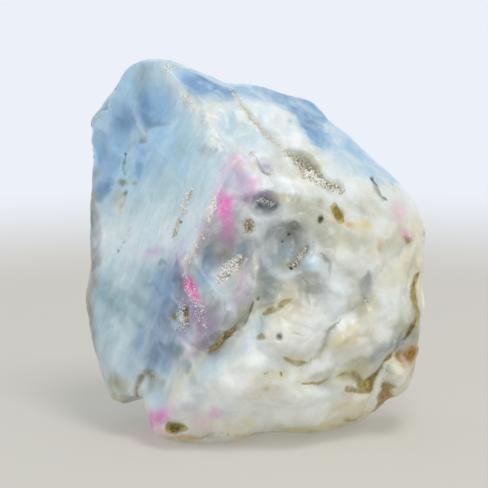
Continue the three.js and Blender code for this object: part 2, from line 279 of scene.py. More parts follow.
# Raised and sunken marks of the front, each after its height in mm
stone["relief"] = {
    "ridges": (
        (0.2, stroke(16, *ridgeLine)), (0.5, stroke(12, *crestLine)),
        (0.5, stroke(5, (185, 344), (191, 351), (198, 360))),
        (0.2, stroke(4, (175, 90), (186, 97), (197, 108))),
        (0.5, stroke(6, (136, 126), (142, 131), (147, 137))),
        (0.12, stroke(18, (262, 222), (264, 244), (262, 264), soft=1)),
        (0.3, stroke(3, (166, 385), (172, 376), (178, 366))),
    ),
    "crack and trough": (
        (-0.3, stroke(5, *crackLine)), (0.3, ledge(18, *crackLine[::-1], edge=5)),
        (-0.4, stroke(9, *troughLine)), (-0.3, ledge(16, (286, 148), (300, 154), (314, 162), (324, 172))),
        (-0.6, stroke(4, (256, 157), (259, 166), (263, 173), (269, 175))), (-0.8, stroke(7, *pitLine)),
        (-0.5, oval(392, 185, 3, 3)),
    ),
    "hollow": (
        (-0.9, oval(214, 258, 22, 28, 20, soft=1)), (-0.4, oval(242, 247, 8, 13, 25)),
        (0.7, ledge(12, *rimLine, edge=5)), (-0.6, oval(266, 205, 13, 8, soft=0.5)),
        (-0.5, oval(248, 226, 8, 9)), (-0.9, oval(228, 276, 3.8, 3.8)), (-0.4, oval(258, 300, 2.2, 2.4)),
        (-0.4, oval(250, 240, 2, 2)), (-0.6, oval(268, 290, 15, 16)), (0.5, oval(226, 304, 26, 16, -35)),
    ),
    "bowl": (
        (-0.6, oval(285, 242, 30, 26, -20, soft=1)), (-0.4, stroke(5, *bowlRim[2:6])),
        (0.45, oval(311, 260, 16, 17, -40, soft=1)), (-0.8, oval(295, 227, 8, 6, 35)),
        (0.2, stroke(20, (262, 260), (272, 272), (286, 276), (300, 271), soft=1)),
        (-0.5, oval(290, 235, 2.4, 2)), (-0.5, oval(282, 242, 2.2, 2)), (-0.6, oval(291, 267, 2.4, 2)),
        (-0.6, oval(295, 264, 2.2, 2)), (-1, oval(321, 219, 4, 6, 20)), (-0.4, oval(338, 213, 6, 7, -20)),
        (0.55, oval(336, 236, 20, 14, 20)), (-0.5, oval(312, 288, 10, 18)), (-0.25, stroke(4, *bowlCrack)),
        (-0.5, stroke(13, (370, 272), (366, 282), (365, 294), (364, 308), soft=1)),
        (-0.3, oval(366, 300, 3, 4)), (0.5, oval(384, 300, 12, 34, -4, soft=1)),
        (0.6, oval(338, 290, 20, 12, soft=1)), (-0.45, oval(268, 306, 13, 4, -22)),
        (-0.4, stroke(5, (322, 252), (327, 262), (327, 272))),
    ),
    "lobe": (
        (0.35, ledge(12, *lobeLine)), (-1.2, stroke(5, *lobeLine)), (0.6, oval(225, 322, 22, 16, -40)),
        (-0.4, oval(194, 290, 7, 18, -12)), (-0.6, oval(186, 314, 4, 9)), (-0.4, oval(173, 318, 3, 8, -25)),
    ),
    "folds": (
        (-0.4, stroke(5, *foldLine)), (0.4, ledge(18, *foldLine[::-1], edge=5)),
        (-0.25, ledge(14, *foldLine, edge=5)), (0.4, ledge(14, *bulgeLine)), (-0.2, stroke(4, *bulgeLine)),
        (0.5, area((262, 318), (300, 312), (326, 320), (318, 344), (304, 356), (280, 350), (256, 342),
                   soft=12)), (-0.8, stroke(4, *lipLine)), (0.4, ledge(16, *lipLine[::-1])),
        (-0.3, ledge(12, *lipLine)),
        (0.8, area((330, 336), (366, 326), (392, 338), (372, 358), (344, 368), (316, 370), soft=10)),
        (-0.5, stroke(6, *webLine)), (-0.8, area(*web, soft=3)), (-0.3, stroke(5, *webFoot)),
        (-0.7, stroke(7, *rightLine)), (0.4, ledge(16, *rightLine)), (-0.7, area(*brownSlot, soft=3)),
        (-0.4, area(*orangePit, soft=3)), (0.7, oval(398, 378, 14, 18, 20)), (-0.8, oval(279, 335, 5, 5.4)),
        (-0.2, stroke(2.4, *foldCrack)), (0.4, oval(350, 384, 9, 5)),
        (-0.3, stroke(4, (268, 372), (281, 374), (291, 374))), (-0.3, oval(260, 337, 7, 5)),
        (-0.35, stroke(14, (196, 372), (214, 362), (236, 350))), (0.5, oval(226, 392, 36, 20, -12)),
        (0.4, oval(300, 396, 34, 14, -4, soft=1)),
    ),
    "foot": (
        (-1.2, oval(175, 427, 12, 6.5, 6, soft=0.6)), (-0.5, stroke(3, *footLine)),
        (-0.3, oval(158, 419, 1.8, 1.6)), (-0.3, oval(181, 411, 1.8, 1.6)), (-0.6, stroke(6, *bladeLine)),
        (0.6, ledge(14, *bladeEdge)), (-0.4, oval(151, 384, 4, 7)), (-0.15, stroke(2, *lipCrack)),
        (-0.4, stroke(8, (300, 432), (330, 424), (352, 417))),
    ),
    "left face": (
        (-0.8, stroke(4, *seamLine)), (-0.4, oval(120, 146, 3, 2)), (-0.4, oval(133, 153, 2, 2)),
        (-0.5, stroke(5, (126, 190), (124, 200), (121, 212))), (-0.3, oval(121, 183, 5, 4)),
        (-0.3, oval(135, 184, 4.6, 3.6)),
        (-0.25, stroke(2, (131, 228), (124, 240), (118, 252), (113, 264))),
        (-0.35, stroke(3, (192, 191), (186, 205), (180, 222), (173, 240))),
        (-0.35, oval(161, 264, 3.4, 5, 20)), (-0.3, oval(126, 98, 5, 3.6)),
        (-0.5, stroke(16, (176, 254), (180, 285), (184, 312), (192, 336), soft=1, taper=1)),
        (-0.3, stroke(3, (137, 88), (144, 74), (152, 66))),
        (-0.25, stroke(3, (128, 96), (134, 80), (141, 68))), (-0.4, oval(95, 268, 4, 12)),
    ),
}

# Colours as red, green and blue from 0 to 255
colours = {
    "milk": (224, 230, 230), "bone": (222, 222, 210), "snow": (240, 243, 239), "mist": (202, 220, 226),
    "aqua": (176, 207, 215), "teal": (140, 172, 182), "sky": (160, 197, 222), "azure": (126, 165, 202),
    "deep": (88, 132, 172), "steel": (124, 146, 168), "grey": (148, 153, 152), "slate": (102, 112, 114),
    "moss": (160, 161, 132), "cream": (220, 210, 178), "butter": (216, 201, 146), "lilac": (198, 187, 210),
    "mauve": (156, 134, 162), "pink": (222, 154, 200), "hotPink": (232, 102, 186), "blush": (226, 194, 198),
    "olive": (118, 109, 66), "tan": (200, 178, 140), "lime": (212, 206, 116),
}

# Broad colours of the front, painted one over another: colour, strength and mark. Some are painted shade and
# painted highlights, noted where they stand
stone["paint"] = {
    "rind": (
        ("grey", 0.4, oval(288, 240, 60, 52, 10)), ("grey", 0.2, oval(320, 300, 100, 76)),
        ("moss", 0.5, oval(410, 336, 24, 56)), ("moss", 0.3, oval(326, 222, 50, 34, 10)),
        ("grey", 0.35, oval(326, 244, 34, 20)), ("grey", 0.3, oval(286, 192, 30, 14)),
        ("tan", 0.5, oval(398, 398, 26, 24, -30)), ("tan", 0.6, oval(408, 356, 24, 34)),
        # the snow oval over the lower front is painted light, standing in for light from below
        ("butter", 0.4, oval(392, 366, 22, 20)), ("snow", 0.9, oval(290, 410, 80, 24)),
        ("moss", 0.35, oval(352, 240, 34, 20)), ("moss", 0.35, oval(300, 196, 40, 16, 20)),
        ("grey", 0.6, oval(262, 212, 30, 22)), ("grey", 0.3, oval(280, 196, 34, 14, 15)),
        ("milk", 0.6, oval(367, 268, 20, 16)),
        ("milk", 0.7, area((150, 380), (200, 350), (262, 340), (270, 370), (250, 410), (200, 430),
                           (150, 430), soft=14)),
    ),
    "blue faces": (
        ("milk", 0.8, area((140, 60), (300, 80), (390, 170), (330, 200), (280, 190), (250, 300),
                           (190, 300), (80, 420), (60, 200), soft=26)),
        ("mist", 0.9, area(*blueFace, soft=13)),
        ("aqua", 0.8, area((146, 57), (178, 90), (214, 134), (222, 160), (190, 200), (150, 205),
                           (84, 215), (80, 120), (110, 70), soft=16)),
        ("sky", 0.8, area((140, 56), (158, 62), (164, 90), (182, 124), (170, 160), (150, 180),
                          (120, 196), (80, 205), (80, 130), (104, 80), soft=12)),
        ("sky", 0.4, oval(188, 156, 26, 36, 10)), ("azure", 0.55, oval(103, 158, 13, 24)),
        ("mist", 0.5, oval(205, 165, 26, 40, 20)), ("mist", 0.6, oval(168, 205, 26, 26)),
        ("teal", 0.55, oval(142, 80, 12, 26, 20)), ("teal", 0.3, oval(136, 205, 14, 20)),
        ("snow", 0.35, oval(118, 232, 34, 26, -20)), ("mist", 0.5, oval(128, 226, 44, 34, -20)),
        ("teal", 0.62, oval(110, 305, 34, 62, 4)), ("teal", 0.3, oval(96, 345, 20, 50, -10)),
        ("steel", 0.7, oval(168, 300, 32, 56, 4)), ("azure", 0.35, oval(166, 285, 30, 34)),
        ("steel", 0.45, oval(176, 276, 16, 18)), ("steel", 0.6, oval(184, 316, 16, 30)),
        ("azure", 0.6, oval(150, 350, 20, 44, -14)), ("teal", 0.35, oval(142, 270, 20, 15)),
        ("steel", 0.4, oval(146, 352, 30, 36, -14)), ("sky", 0.65, oval(160, 358, 7, 22, -24)),
        ("moss", 0.55, oval(112, 388, 26, 20)), ("cream", 0.8, oval(112, 400, 18, 8, 15)),
        ("moss", 0.7, stroke(5, (112, 396), (128, 402), (138, 392))),
        ("teal", 0.6, oval(138, 304, 20, 44, 4)), ("steel", 0.5, oval(166, 346, 20, 24)),
        # the grey, slate and moss strips down the left edge here are painted shade where the stone turns away
        # from the light
        ("grey", 0.85, stroke(26, (86, 170), (92, 215), (90, 255), (88, 300), (94, 350))),
        ("slate", 0.35, stroke(14, (84, 196), (90, 225), (88, 262), (86, 300), (92, 340))),
        ("moss", 0.55, stroke(12, (88, 230), (90, 262), (88, 300), (92, 350))),
        ("snow", 0.5, stroke(4, (102, 224), (104, 236), (101, 250))), ("slate", 0.5, oval(97, 264, 4, 13)),
        ("lilac", 0.6, oval(154, 253, 19, 10, -20)), ("lilac", 0.5, oval(182, 250, 16, 26, 15)),
        ("teal", 0.3, oval(158, 275, 20, 12)), ("slate", 0.6, oval(161, 264, 4, 6, 20)),
        ("steel", 0.4, area((150, 300), (178, 294), (188, 330), (182, 352), (162, 352), (150, 332),
                            soft=9)), ("azure", 0.35, oval(160, 300, 18, 40, 4)),
        # the grey stroke down the lower left edge is painted shade too
        ("steel", 0.5, oval(158, 362, 26, 22)), ("grey", 0.7, stroke(24, (84, 316), (90, 356), (102, 392))),
        ("teal", 0.4, oval(122, 366, 22, 22)),
    ),
    "top left": (
        ("sky", 0.5, oval(170, 116, 12, 16, 20)),
        ("azure", 0.4, stroke(9, (130, 134), (138, 146), (146, 156))),
        ("deep", 0.35, oval(140, 170, 4, 14)), ("lilac", 0.6, oval(108, 128, 8, 9)),
        ("moss", 0.4, oval(100, 112, 9, 12, 30)), ("blush", 0.25, oval(103, 130, 7, 6)),
        ("grey", 0.7, oval(93, 172, 10, 14)), ("moss", 0.4, oval(95, 200, 10, 8)),
        ("moss", 0.35, oval(118, 198, 10, 16)), ("mist", 0.6, oval(104, 206, 12, 9)),
        ("aqua", 0.6, oval(112, 96, 8, 16, 35)), ("moss", 0.25, oval(141, 80, 6, 16, 15)),
        ("teal", 0.4, stroke(8, (146, 66), (140, 78), (132, 92))), ("cream", 0.9, oval(168, 68, 11, 6)),
        ("snow", 0.95, stroke(13, (152, 80), (168, 78), (184, 86))),
        ("mist", 0.6, stroke(16, (156, 82), (176, 88), (192, 104))), ("grey", 0.35, oval(152, 70, 10, 7)),
        ("snow", 0.7, oval(184, 99, 14, 9, 38)), ("tan", 0.5, oval(188, 105, 7, 4, 20)),
        ("sky", 0.6, oval(186, 122, 12, 16)), ("azure", 0.35, oval(114, 150, 26, 54, 10)),
        ("mist", 0.7, stroke(34, (182, 98), (194, 114), (204, 132), (212, 150))),
        ("snow", 0.75, stroke(24, (190, 102), (202, 118), (212, 134), (221, 150))),
        ("aqua", 0.6, oval(232, 128, 18, 24, -30)), ("grey", 0.45, oval(207, 150, 15, 11)),
        ("moss", 0.2, oval(180, 146, 8, 14)),
    ),
    "chips": (
        ("azure", 0.8, area((138, 98), (143, 89), (152, 85), (166, 87), (175, 95), (173, 108),
                            (168, 120), (156, 127), (144, 124), (138, 112), soft=6)),
        ("deep", 0.55, area((137, 99), (142, 92), (149, 91), (148, 104), (150, 117), (142, 120),
                            (137, 110), soft=4)), ("sky", 0.45, oval(165, 104, 9, 13, 20)),
        # the slate stroke is painted shadow under the chip's lower edge
        ("slate", 0.5, stroke(8, (145, 121), (154, 125), (168, 125))),
        ("azure", 0.9, area((112, 120), (119, 111), (128, 108), (135, 111), (136, 124), (131, 134),
                            (121, 140), (113, 131), soft=3)),
        ("deep", 0.8, area((113, 122), (120, 112), (128, 112), (127, 122), (122, 130), (115, 130), soft=4)),
        ("deep", 0.8, area((96, 190), (98, 180), (106, 175), (113, 180), (109, 192), (100, 201), soft=3)),
        # the snow oval at (140, 129) is a painted highlight on a ledge's edge, and the slate oval at (143,
        # 140) on the next line is its painted shadow
        ("mist", 0.6, oval(133, 137, 9, 9)), ("snow", 0.7, oval(140, 129, 6, 7, -20)),
        ("tan", 0.6, oval(145, 132, 4, 5)), ("slate", 0.5, oval(143, 140, 6, 4)),
        ("olive", 0.5, oval(121, 183, 6, 5)), ("tan", 0.7, oval(135, 184, 6, 5)),
        ("tan", 0.8, stroke(9, (125, 192), (123, 202), (120, 214))),
    ),
    "top right": (
        ("mist", 0.85, area(*topBand, soft=12)), ("sky", 0.75, area(*topBand, soft=7)),
        ("azure", 0.75, area((182, 72), (200, 74), (218, 82), (234, 92), (230, 100), (206, 96),
                             (192, 90), (178, 82), soft=5)),
        ("teal", 0.4, stroke(6, (186, 74), (202, 80), (220, 88))),
        ("mist", 0.4, stroke(4, (196, 82), (212, 90), (226, 98))), ("deep", 0.3, oval(204, 82, 18, 4, 24)),
        ("azure", 0.65, area((254, 80), (292, 92), (320, 100), (332, 116), (318, 116), (296, 106),
                             (272, 98), (256, 90), soft=5)),
        ("teal", 0.6, stroke(7, (250, 82), (272, 88), (292, 92))),
        ("azure", 0.85, area((282, 108), (298, 106), (314, 117), (324, 130), (330, 146), (318, 143),
                             (304, 133), (292, 122), soft=4)), ("deep", 0.5, oval(306, 122, 12, 7, 38)),
        ("mist", 0.6, oval(338, 138, 14, 12, 30)),
        ("mist", 0.5, stroke(7, (286, 100), (304, 106), (322, 116))),
        ("sky", 0.6, stroke(12, (344, 136), (366, 152), (384, 170))),
        ("azure", 0.4, stroke(5, (322, 104), (340, 118), (352, 128))),
        ("snow", 0.75, area((240, 100), (262, 102), (288, 112), (300, 132), (312, 148), (286, 146),
                            (266, 128), soft=8)), ("mist", 0.5, oval(352, 168, 30, 12, 35)),
        ("cream", 0.4, oval(235, 97, 8, 5, 45)), ("mist", 0.6, oval(262, 118, 40, 20, 40)),
        ("mist", 0.6, oval(250, 142, 26, 16, 30)), ("aqua", 0.4, oval(238, 124, 22, 26, -20)),
        ("aqua", 0.3, oval(258, 130, 16, 7, 40)), ("snow", 0.3, oval(272, 124, 16, 8, 45)),
        ("mist", 0.4, oval(292, 126, 12, 16, 40)), ("cream", 0.4, stroke(8, *crackLine)),
        ("tan", 0.15, stroke(5, *crackLine)),
    ),
    "pink and lilac": (
        ("milk", 0.6, stroke(26, *crestLine)), ("blush", 0.5, stroke(12, *crestLine[2:])),
        ("lilac", 0.8, oval(232, 180, 26, 42, 8)), ("blush", 0.45, oval(234, 164, 16, 14)),
        ("pink", 0.5, oval(225, 206, 16, 28, 4)), ("hotPink", 0.75, oval(225, 206, 12, 19, 4)),
        ("pink", 0.65, oval(229, 236, 13, 26, 4)), ("pink", 0.45, oval(252, 188, 16, 16, 30)),
        ("mist", 0.5, oval(231, 181, 8, 17, 2)), ("grey", 0.75, oval(244, 213, 22, 22)),
        ("mauve", 0.25, oval(212, 222, 10, 14, 30)), ("mauve", 0.5, oval(250, 198, 16, 8, -10)),
        ("mauve", 0.4, oval(264, 194, 18, 8, 15)), ("lilac", 0.5, oval(262, 164, 10, 12)),
        ("steel", 0.5, oval(266, 166, 5, 5)), ("grey", 0.3, oval(266, 170, 7, 5)),
        ("cream", 0.5, oval(254, 168, 6, 12)), ("mauve", 0.25, oval(204, 228, 9, 12, 30)),
        ("blush", 0.4, oval(212, 196, 6, 16, 20)),
    ),
    "hollow": (
        # this grey is partly the stone's own grey and partly painted shade in the hollow
        ("grey", 0.4, area((206, 231), (222, 225), (242, 228), (255, 240), (253, 260), (240, 264),
                           (222, 266), (204, 264), (193, 252), soft=9)),
        ("steel", 0.45, area((200, 248), (208, 242), (216, 252), (217, 270), (211, 288), (201, 294),
                             (195, 280), (194, 262), soft=10)), ("sky", 0.5, oval(206, 284, 14, 18)),
        ("azure", 0.15, oval(205, 270, 13, 22, 5)), ("mauve", 0.25, oval(220, 238, 22, 9, 10)),
        ("moss", 0.55, oval(226, 254, 14, 10, -20)), ("olive", 0.2, oval(223, 255, 9, 6, -20)),
        ("steel", 0.6, oval(244, 246, 8, 14, 28)), ("sky", 0.4, oval(242, 248, 5, 10, 28)),
        ("pink", 0.6, oval(226, 226, 9, 18, 4)),
        ("mist", 0.25, area((208, 288), (222, 278), (240, 268), (252, 264), (256, 284), (250, 302),
                            (236, 318), (216, 320), (205, 304), soft=9)),
        ("grey", 0.8, area((204, 296), (226, 304), (248, 300), (240, 322), (216, 346), (196, 352),
                           (192, 326), soft=9)), ("grey", 0.5, oval(236, 292, 24, 26)),
        ("grey", 0.5, oval(243, 262, 14, 16)),
        ("moss", 0.6, stroke(16, (252, 302), (245, 316), (236, 328))),
        ("olive", 0.45, stroke(13, (218, 281), (226, 272), (240, 257))),
        # the mauve area and the grey oval after it are partly the stone's own tint and partly painted shade
        # under the lobe
        ("mauve", 0.45, area((184, 302), (203, 300), (214, 328), (206, 350), (192, 356), (182, 340),
                             soft=8)), ("grey", 0.4, oval(190, 318, 15, 18)),
        ("mauve", 0.25, oval(243, 290, 12, 22)), ("aqua", 0.4, oval(214, 292, 18, 9, -20)),
        ("blush", 0.4, oval(244, 278, 13, 32, 4)), ("lilac", 0.3, oval(228, 310, 26, 14, -40)),
        ("mauve", 0.5, oval(208, 328, 24, 16, -35)), ("steel", 0.45, oval(186, 366, 15, 14)),
        ("grey", 0.5, oval(218, 328, 26, 14, -35)), ("lilac", 0.5, oval(194, 342, 12, 12, -35)),
        ("tan", 0.35, oval(238, 312, 12, 6, -45)),
        ("cream", 0.5, stroke(5, (256, 248), (257, 270), (255, 290), (250, 306))),
        ("snow", 0.6, stroke(3, (250, 250), (247, 258), (242, 266))),
        # round the pit: the mauve above it is painted shade, its slate inside is partly its own dark and
        # partly painted shade
        ("mauve", 0.35, oval(260, 197, 20, 7, 5)), ("slate", 0.9, oval(267, 206, 13, 8.5, soft=0.6)),
        ("steel", 0.4, oval(267, 209, 10, 4, soft=0.6)),
        # the snow stroke under the pit is a painted highlight on its lit rim
        ("snow", 0.3, stroke(5, (260, 216), (268, 217), (275, 214))),
        ("mist", 0.35, oval(255, 217, 13, 7, 10)), ("olive", 0.55, oval(247, 226, 7, 10, 10)),
        ("mauve", 0.6, oval(184, 292, 13, 32, -8)), ("pink", 0.7, oval(191, 286, 10, 20, -20)),
        ("hotPink", 0.8, oval(190, 284, 7, 13, -22)), ("hotPink", 0.6, oval(195, 297, 5, 12, -20)),
        ("mauve", 0.75, oval(199, 315, 11, 20, -20)), ("slate", 0.4, oval(178, 283, 9, 10)),
        ("olive", 0.75, oval(186, 314, 4, 11, -4)), ("olive", 0.7, oval(173, 318, 3.4, 8, -25)),
        ("cream", 0.5, oval(180, 318, 5, 7)), ("sky", 0.4, oval(190, 334, 6, 8)),
        ("lilac", 0.6, stroke(8, (180, 336), (185, 346), (192, 353), (199, 360))),
        ("snow", 0.5, stroke(4, (182, 341), (187, 348), (194, 354))),
        # the grey oval at (238, 343) is painted shadow under the lobe
        ("slate", 0.4, oval(178, 352, 8, 11, 30)), ("grey", 0.35, oval(238, 343, 16, 8, -30)),
    ),
    "bowl": (
        ("grey", 0.7, area((258, 226), (276, 217), (296, 223), (307, 240), (301, 262), (282, 271),
                           (264, 278), (255, 258), soft=10)), ("mist", 0.15, oval(264, 248, 9, 20)),
        ("moss", 0.5, oval(290, 228, 12, 10)), ("slate", 0.35, oval(293, 228, 8, 7, 30)),
        ("grey", 0.3, oval(300, 276, 26, 12)), ("teal", 0.4, oval(280, 254, 24, 14, -20)),
        # the mist oval at (312, 262) and the snow oval on the next line are a painted highlight on the bulge
        ("moss", 0.5, oval(290, 262, 14, 4, -15)), ("mist", 0.7, oval(312, 262, 15, 15, -40)),
        ("snow", 0.2, oval(314, 258, 9, 7, -40)),
        ("grey", 0.6, area((256, 270), (272, 270), (282, 282), (280, 298), (268, 304), (256, 296), soft=6)),
        ("teal", 0.2, oval(268, 292, 18, 18)),
        ("mist", 0.4, stroke(18, (264, 258), (273, 270), (286, 275), (300, 271), soft=1)),
        ("moss", 0.35, oval(302, 290, 10, 22)), ("olive", 0.4, stroke(9, *bowlRim[2:6])),
        ("moss", 0.4, oval(300, 208, 28, 18)), ("milk", 0.7, oval(286, 184, 20, 12, 25)),
        ("butter", 0.35, oval(282, 198, 18, 8, 20)), ("moss", 0.5, oval(316, 202, 14, 7, 20)),
        ("grey", 0.4, oval(316, 292, 18, 20)), ("moss", 0.15, oval(310, 284, 14, 12)),
        # the grey stroke from (322, 250) is painted shadow beside the bulge
        ("milk", 0.7, oval(338, 291, 18, 10)), ("grey", 0.4, stroke(9, (322, 250), (328, 262), (330, 276))),
        ("butter", 0.35, oval(338, 246, 18, 22, 20)), ("snow", 0.5, oval(342, 252, 14, 12, -20)),
        ("moss", 0.35, oval(322, 236, 12, 14)), ("butter", 0.4, oval(336, 216, 12, 14, -20)),
        ("cream", 0.6, oval(356, 226, 22, 10, 15)), ("moss", 0.35, oval(352, 306, 12, 10)),
        ("moss", 0.25, oval(358, 208, 18, 8, 20)),
    ),
    "trough": (
        ("milk", 0.5, oval(330, 172, 30, 14, 38)),
        # these two strokes are painted shadow on the trough's upper wall
        ("moss", 0.35, stroke(13, (288, 149), (298, 153), (309, 161), (320, 171))),
        ("olive", 0.2, stroke(6, (288, 152), (300, 158), (314, 168), (324, 178))),
        ("olive", 0.55, stroke(12, (288, 156), (301, 166), (320, 181), (342, 192))),
        ("moss", 0.6, oval(340, 184, 10, 7, 40)), ("snow", 0.5, oval(352, 186, 14, 10, 40)),
        ("snow", 0.5, oval(300, 190, 24, 9, 25)),
    ),
    "right": (
        ("grey", 0.6, stroke(9, *pitLine)), ("mist", 0.5, oval(384, 182, 12, 12)),
        ("blush", 0.55, oval(398, 212, 12, 22, -15)), ("pink", 0.5, oval(406, 234, 12, 8, 30)),
        ("butter", 0.5, oval(366, 224, 18, 6, 10)), ("tan", 0.5, oval(352, 226, 9, 5, 15)),
        ("tan", 0.45, oval(381, 244, 6, 10, -20)), ("milk", 0.4, oval(384, 262, 24, 18)),
        ("grey", 0.4, stroke(15, (367, 270), (366, 282), (365, 294), (364, 308))),
        ("moss", 0.4, stroke(14, (363, 294), (362, 310), (357, 324))),
        ("cream", 0.6, stroke(9, (370, 304), (375, 318), (368, 332), (358, 342))),
        ("milk", 0.5, oval(392, 300, 20, 40, -8)),
        # the snow stroke is a painted highlight on the lit right edge
        ("snow", 0.6, stroke(6, (423, 290), (424, 310), (421, 330))),
        # the grey oval at (398, 344) is painted shade by the crease
        ("grey", 0.85, oval(398, 344, 28, 14, -30)), ("milk", 0.3, oval(376, 326, 18, 20, 30)),
        ("grey", 0.5, oval(378, 356, 22, 11, -45)), ("moss", 0.3, oval(404, 330, 16, 20)),
        ("olive", 0.35, stroke(9, (398, 347), (391, 353), (384, 362))),
    ),
    "folds": (
        ("snow", 0.5, area((266, 320), (300, 316), (330, 320), (318, 344), (304, 354), (282, 348),
                           (256, 336), soft=9)), ("aqua", 0.4, oval(256, 322, 18, 16, -30)),
        ("snow", 0.75, oval(344, 322, 20, 9, -20)), ("cream", 0.65, oval(348, 336, 34, 16, -30)),
        ("butter", 0.35, oval(342, 344, 18, 10, -30)), ("butter", 0.6, oval(294, 360, 16, 7)),
        # painted shade along the fold's crease
        ("moss", 0.6, stroke(6, *foldLine[2:])),
        ("moss", 0.8, stroke(10, (264, 314), (272, 309), (280, 305), (289, 300))),
        ("grey", 0.25, oval(280, 366, 34, 12)), ("butter", 0.3, oval(266, 338, 12, 8)),
        ("butter", 0.5, oval(278, 374, 20, 6)), ("milk", 0.5, oval(320, 366, 24, 9, -25)),
        ("cream", 0.5, oval(262, 384, 26, 24)), ("blush", 0.45, oval(250, 384, 6, 10)),
        ("tan", 0.4, oval(266, 391, 6, 5)), ("moss", 0.35, oval(360, 362, 22, 8, -20)),
        ("butter", 0.5, stroke(8, *lipLine)), ("butter", 0.8, area(*web, soft=4)),
        ("snow", 0.6, oval(350, 384, 12, 6)), ("snow", 0.6, stroke(9, (374, 400), (378, 386), (382, 374))),
        ("snow", 0.5, oval(356, 398, 24, 6)), ("snow", 0.5, oval(398, 376, 14, 18, 20)),
        ("blush", 0.7, oval(396, 402, 22, 8, -30)), ("cream", 0.5, oval(340, 410, 40, 10, -15)),
        ("tan", 0.35, stroke(9, (382, 412), (394, 405), (404, 396))),
    ),
    "lip": (
        ("mist", 0.8, area((194, 384), (200, 366), (222, 350), (252, 334), (262, 346), (236, 362),
                           (214, 380), soft=8)),
        ("aqua", 0.4, stroke(14, (202, 370), (222, 356), (244, 344))),
        ("snow", 0.7, area((196, 392), (228, 370), (262, 346), (276, 352), (252, 372), (246, 396),
                           (218, 408), (196, 404), soft=9)),
        ("mist", 0.7, area((172, 400), (184, 378), (198, 362), (214, 350), (224, 362), (210, 386),
                           (196, 406), (180, 410), soft=6)), ("aqua", 0.25, oval(206, 368, 22, 12, -35)),
        ("snow", 0.4, oval(190, 398, 16, 12, -20)), ("grey", 0.3, oval(196, 378, 16, 14, -35)),
        ("cream", 0.6, stroke(8, (172, 398), (184, 381), (199, 365))),
        ("moss", 0.4, stroke(6, (166, 397), (177, 380), (194, 362))),
        ("mauve", 0.5, oval(202, 348, 10, 8, -35)),
        # painted shade in the crevice under the lobe's tip
        ("slate", 0.6, stroke(6, (216, 348), (207, 355), (197, 363), soft=1, taper=0.3)),
        ("lilac", 0.4, oval(182, 408, 26, 12, -10)), ("pink", 0.45, oval(162, 412, 18, 15, 10)),
        ("pink", 0.85, oval(157, 419, 17, 19, 20)), ("hotPink", 0.75, oval(154, 421, 11, 12, 20)),
        ("blush", 0.7, oval(166, 434, 18, 8, 10)), ("pink", 0.45, oval(216, 413, 13, 10)),
        ("blush", 0.35, oval(200, 420, 24, 12)), ("lime", 0.75, oval(249, 422, 9, 8, soft=1)),
        ("tan", 0.65, stroke(12, (166, 436), (200, 439), (240, 437), (264, 431))),
        ("butter", 0.5, stroke(12, (262, 434), (300, 431), (330, 424), (352, 417), (376, 408))),
        ("tan", 0.5, stroke(8, (330, 428), (350, 422), (366, 414))), ("cream", 0.3, oval(228, 428, 30, 8)),
        ("moss", 0.15, oval(264, 412, 20, 12)), ("mist", 0.9, oval(152, 396, 12, 24, -10)),
        ("azure", 0.35, oval(154, 392, 14, 16)), ("sky", 0.6, oval(162, 400, 12, 12)),
        ("grey", 0.3, oval(166, 394, 12, 14)), ("olive", 0.5, stroke(9, *bladeLine)),
        ("olive", 0.5, oval(151, 385, 5, 8, 10)),
    ),
}
